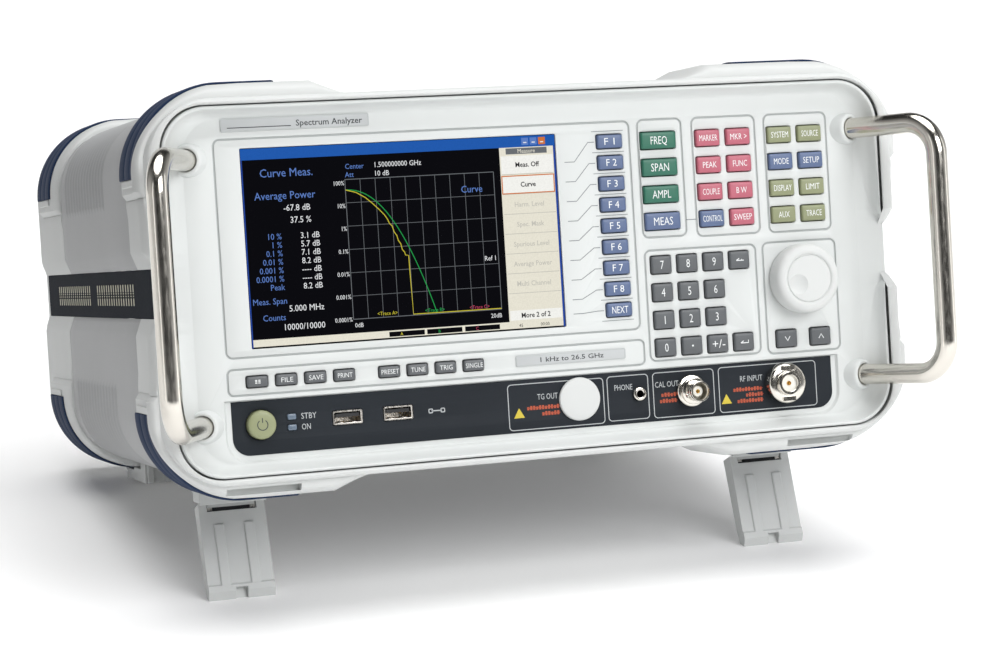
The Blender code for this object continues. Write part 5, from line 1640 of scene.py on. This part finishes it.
def rear_panel():
    """The back's plate, pierced for the fan, the air and the mains, and its screws."""
    outlines = [rounded(176.0, 83.5, 26.5, steps=16), *grille()]
    for column in range(12):
        outlines.append(rounded(2.0, 13.0, 1.9, (-30.0 + 12 * column, 56.0), 5))
    outlines.append(rounded(14.0, 10.3, 1.0, INLET_AT, 3))
    outlines.append(rounded(11.4, 8.1, 1.0, SWITCH_AT, 3))
    face = REAR_PANEL_Y + 1.6
    bm = oriented(flat_shape(outlines, REAR_PANEL_Y, face, 0.15))
    # The rear plate takes the covers' darker grey, which is painted shade.
    piece("rear_plate", bm, [COVER_SHADED_GREY], nodes=["rear_panel"], sharp=40)
    corners = [(a, b) for a in (-1, 1) for b in (-1, 1)]
    places = [(FAN_AT[0] + a * FAN_SCREW, FAN_AT[1] + b * FAN_SCREW) for a, b in corners]
    places += [(a * 160, b * 62) for a, b in corners]
    places += [(-44.0, 0.0), (100.0, 0.0), (-44.0, -58.0), (100.0, -58.0)]
    profile = ((0.0, 1.6), (0.6, 1.6), (0.9, 2.1), (2.2, 1.9), (3.0, 1.0), (3.1, 0.0))
    screws = bmesh.new()
    for x, z in places:
        lathe(screws, profile, (x, face, z), (0, 1, 0), 24)
    piece("rear_screws", oriented(screws), [SATIN])


def mains_inlet():
    """A moulding round the inlet and the switch, the inlet's well and its three pins."""
    x, z = INLET_AT
    y = REAR_FACE_Y
    bm = flat_shape([
        rounded(25, 25, 2.5, (x, z + 12), 6), rounded(12.2, 8.2, 1.4, (x, z), 5),
        rounded(11.2, 7.8, 0.8, SWITCH_AT, 4),
    ], y, y + 2.2, 0.3)
    well = bmesh.new()
    mouth, floor = rounded(12.2, 8.2, 1.4, (x, z), 5), rounded(12.0, 8.0, 1.4, (x, z), 5)
    grid = skin(well, [at_depth(mouth, y + 0.6), at_depth(floor, y - 15.8)], wrap=True)
    well.faces.new(grid[-1])
    absorb(bm, well)
    piece("inlet_moulding", oriented(bm), [BLACK], nodes=["mains_inlet"], sharp=40)
    pins = bmesh.new()
    for dx, dz in ((-7.0, 1.0), (0.0, 4.6), (7.0, 1.0)):
        add_box(pins, (x + dx - 2, y - 15.8, z + dz - 1), (x + dx + 2, y - 1, z + dz + 1))
    softened(piece("inlet_pins", pins, [SATIN]), 0.4)


def mains_switch():
    x, z = SWITCH_AT
    profile = ((-11, -3), (-0.8, -6), (-0.1, -3), (0.2, 0), (1.2, 3), (2.6, 6), (-11, 3))
    bm = bar(x - 9.4, x + 9.4, [(REAR_FACE_Y + 1.9 + dy, z + dz) for dy, dz in profile])
    softened(piece("switch_rocker", bm, [BLACK], "mains_switch", ["mains_switch"]), 0.5)


def io_plate():
    """The rear interface plate: three coaxial sockets and several plain multi-way sockets."""
    x, z = IO_AT
    y = REAR_FACE_Y
    bm = oriented(flat_shape([rounded(75, 31, 1.5, IO_AT, 4)], y, y + 1.2, 0.2))
    piece("io_sheet", bm, [SHEET], nodes=["io_plate"])
    shells = bmesh.new()
    inserts = bmesh.new()
    for dx, dz, half_w, half_h, depth in (
        (-48, 12.5, 18, 6.5, 6), (-4, 12.5, 18, 6.5, 6), (-35, -14, 31, 8, 5), (13, -14, 9, 8, 3),
        (33, 12.5, 9, 8.5, 3),
    ):
        middle = (x + dx, z + dz)
        rows = []
        for rise, inset in (
            (1.0, 0.0), (depth - 0.3, 0.0), (depth, 0.3), (depth, 1.0), (depth - 0.2, 1.2), (2.2, 1.2),
        ):
            rows.append(at_depth(rounded(half_w - inset, half_h - inset, 1.6, middle, 4), y + rise))
        skin(shells, rows, wrap=True)
        for inset_x, inset_z, top in ((1.1, 1.1, 2.4), (3.5, 3.0, depth - 0.4)):
            reach = (half_w - inset_x, half_h - inset_z)
            low = (middle[0] - reach[0], y + 1.2, middle[1] - reach[1])
            add_box(inserts, low, (middle[0] + reach[0], y + top, middle[1] + reach[1]))
    shell = ((6.8, 1.2), (6.8, 2.6), (4.85, 3.2), (4.85, 11.6), (4.5, 12.0), (4.1, 12.0), (4.05, 4.0))
    insert = ((4.1, 4.0), (2.4, 4.0), (2.4, 9.0), (0.0, 9.0))
    for dz in (-20, 0, 20):
        lathe(shells, shell, (x + 54, y, z + dz), (0, 1, 0), 40)
        lathe(inserts, insert, (x + 54, y, z + dz), (0, 1, 0), 32)
    piece("io_shells", oriented(shells), [SATIN])
    piece("io_inserts", oriented(inserts), [BLACK])


# Inside


def inside():
    """Hidden parts keep their CAD shape and get a finish of their own."""
    finishes = {
        "knob_encoder": SATIN, "chassis_tray": SHEET, "main_board": BOARD, "front_board": BOARD,
        "rf_module": SHEET, "power_supply": BLACK, "lcd_module": BLACK, "fan_frame": BLACK,
        "fan_rotor": BLACK,
    }
    for name, finish in finishes.items():
        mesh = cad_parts[name].data
        mesh.materials.clear()
        mesh.materials.append(finish)


# Floor, light and camera


def floor_finish():
    """Pale paper with a faint mottle, a little of its own light keeping it white."""
    made = moulded("pale_floor", (0.93, 0.93, 0.93), 0.9, drift=0.004, relief=0.0, specular=0.1)
    shader = made.node_tree.nodes["Principled BSDF"]
    shader.inputs["Emission Color"].default_value = (1.0, 1.0, 1.0, 1.0)
    shader.inputs["Emission Strength"].default_value = FLOOR_GLOW
    return made


def stage():
    """A pale floor that curves up far behind into a backdrop."""
    across_x = (-FLOOR_REACH, -3.0, 3.0, FLOOR_REACH)
    profile = [(y, 0.0) for y in across_x]
    profile += arc((COVE_START, COVE_RADIUS), COVE_RADIUS, -90, 90, 12)
    profile.append((COVE_START + COVE_RADIUS, BACKDROP_TOP))
    bm = bmesh.new()
    skin(bm, [[(x, y, z) for x in across_x] for y, z in profile])
    mesh = mesh_of("floor", oriented(bm))
    mesh.shade_smooth()
    mesh.materials.append(floor_finish())
    floor = linked("floor", mesh)


def dark_card():
    """A black card beside the left side that keeps the bright floor's bounce off it, unseen by the camera."""
    bm = bmesh.new()
    skin(bm, [[(CARD_X, y, z) for y in CARD_Y] for z in CARD_Z])
    mesh = mesh_of("dark_card", bm)
    mesh.materials.append(moulded("card_black", (0.01, 0.01, 0.01), 0.9, relief=0.0, specular=0.0))
    card = linked("dark_card", mesh)
    card.visible_camera = False
    card.visible_glossy = False


def soft_light(name, at, size, power):
    """A rectangular light that faces the instrument."""
    light = bpy.data.lights.new(name, "AREA")
    light.shape = "RECTANGLE"
    light.size, light.size_y = size
    light.energy = power
    made = linked(name, light)
    made.location = at
    aim = Vector(MIDDLE) - Vector(at)
    made.rotation_euler = aim.to_track_quat("-Z", "Y").to_euler()


def sky():
    """Dark in front and behind, brighter low down on both sides, where a metal tube picks it up."""
    world = bpy.data.worlds.new("studio")
    bpy.context.scene.world = world
    world.use_nodes = True
    tree = world.node_tree
    split = tree.nodes.new("ShaderNodeSeparateXYZ")
    tree.links.new(tree.nodes.new("ShaderNodeTexCoord").outputs["Generated"], split.inputs["Vector"])
    height = remap(tree, split.outputs["Z"], *SKY_BY_HEIGHT, -0.1, 1.0)
    across_sky = tree.nodes.new("ShaderNodeMath")
    across_sky.operation = "ABSOLUTE"
    tree.links.new(split.outputs["X"], across_sky.inputs[0])
    side = remap(tree, across_sky.outputs[0], *SKY_BY_SIDE, 0.55, 0.95)
    product = tree.nodes.new("ShaderNodeMath")
    product.operation = "MULTIPLY"
    tree.links.new(height, product.inputs[0])
    tree.links.new(side, product.inputs[1])
    tree.nodes["Background"].inputs["Color"].default_value = (1.0, 1.0, 1.0, 1.0)
    tree.links.new(product.outputs[0], tree.nodes["Background"].inputs["Strength"])


def lights():
    sky()
    overhead = bpy.data.lights.new("overhead", "SUN")
    overhead.energy = OVERHEAD
    overhead.angle = radians(OVERHEAD_SPREAD)
    linked("overhead", overhead).location = (0.0, 0.0, 3.0)
    for name, (at, size, power) in SOFT_LIGHTS.items():
        soft_light(name, at, size, power)


def camera():
    data = bpy.data.cameras.new("camera")
    data.sensor_width = 36.0
    data.lens = CAMERA_LENS
    data.clip_start, data.clip_end = 0.05, 60.0
    made = linked("camera", data)
    turn = Matrix.Rotation(radians(CAMERA_YAW), 4, "Z") @ Matrix.Rotation(radians(90 + CAMERA_PITCH), 4, "X")
    turn = turn @ Matrix.Rotation(radians(CAMERA_ROLL), 4, "Z")
    made.matrix_world = PLACE @ Matrix.Translation(CAMERA_AT) @ turn @ Matrix.Scale(1 / MM, 4)
    bpy.context.scene.camera = made


def case():
    front_frame()
    rear_frame()
    cover("cover_top", 1, "top_cover")
    cover("cover_bottom", -1, "bottom_cover")
    for word, side in (("left", -1), ("right", 1)):
        side_band(f"band_{word}", side, f"side_band_{word}")
        handle(f"grip_{word}", side, f"handle_{word}")
        tilt_leg(side, word)
        leg_mount(side, word)
        foot_block(side, word)
        foot_front(side, word)
        foot_pad(side, word)
    corners = (("top_left", -1, 1), ("top_right", 1, 1), ("bottom_left", -1, -1), ("bottom_right", 1, -1))
    for word, sx, sz in corners:
        rubber_strip(f"front_rubber_{word}", sx, sz, (8.0, 49.4), f"front_bumper_{word}")
        rubber_strip(f"rear_rubber_{word}", sx, sz, (264.0, 305.9), f"rear_bumper_{word}")


def front():
    panel_surround()
    panel_plate()
    groove_floors()
    strip_ledge()
    bosses()
    keys()
    key_line_work()
    display()
    strip_plate()
    strip_print()
    strip_marks()
    power_button()
    status_lamps()
    for name, at in USB_AT.items():
        usb_socket(name, at)
    blank_cap()
    phone_jack()
    cal_connector()
    rf_connector()
    tuning_knob()
    label_plates()


def back():
    rear_panel()
    mains_inlet()
    mains_switch()
    io_plate()


case()
front()
back()
inside()
stage()
dark_card()
lights()
camera()
bpy.context.scene.view_settings.view_transform = "Standard"
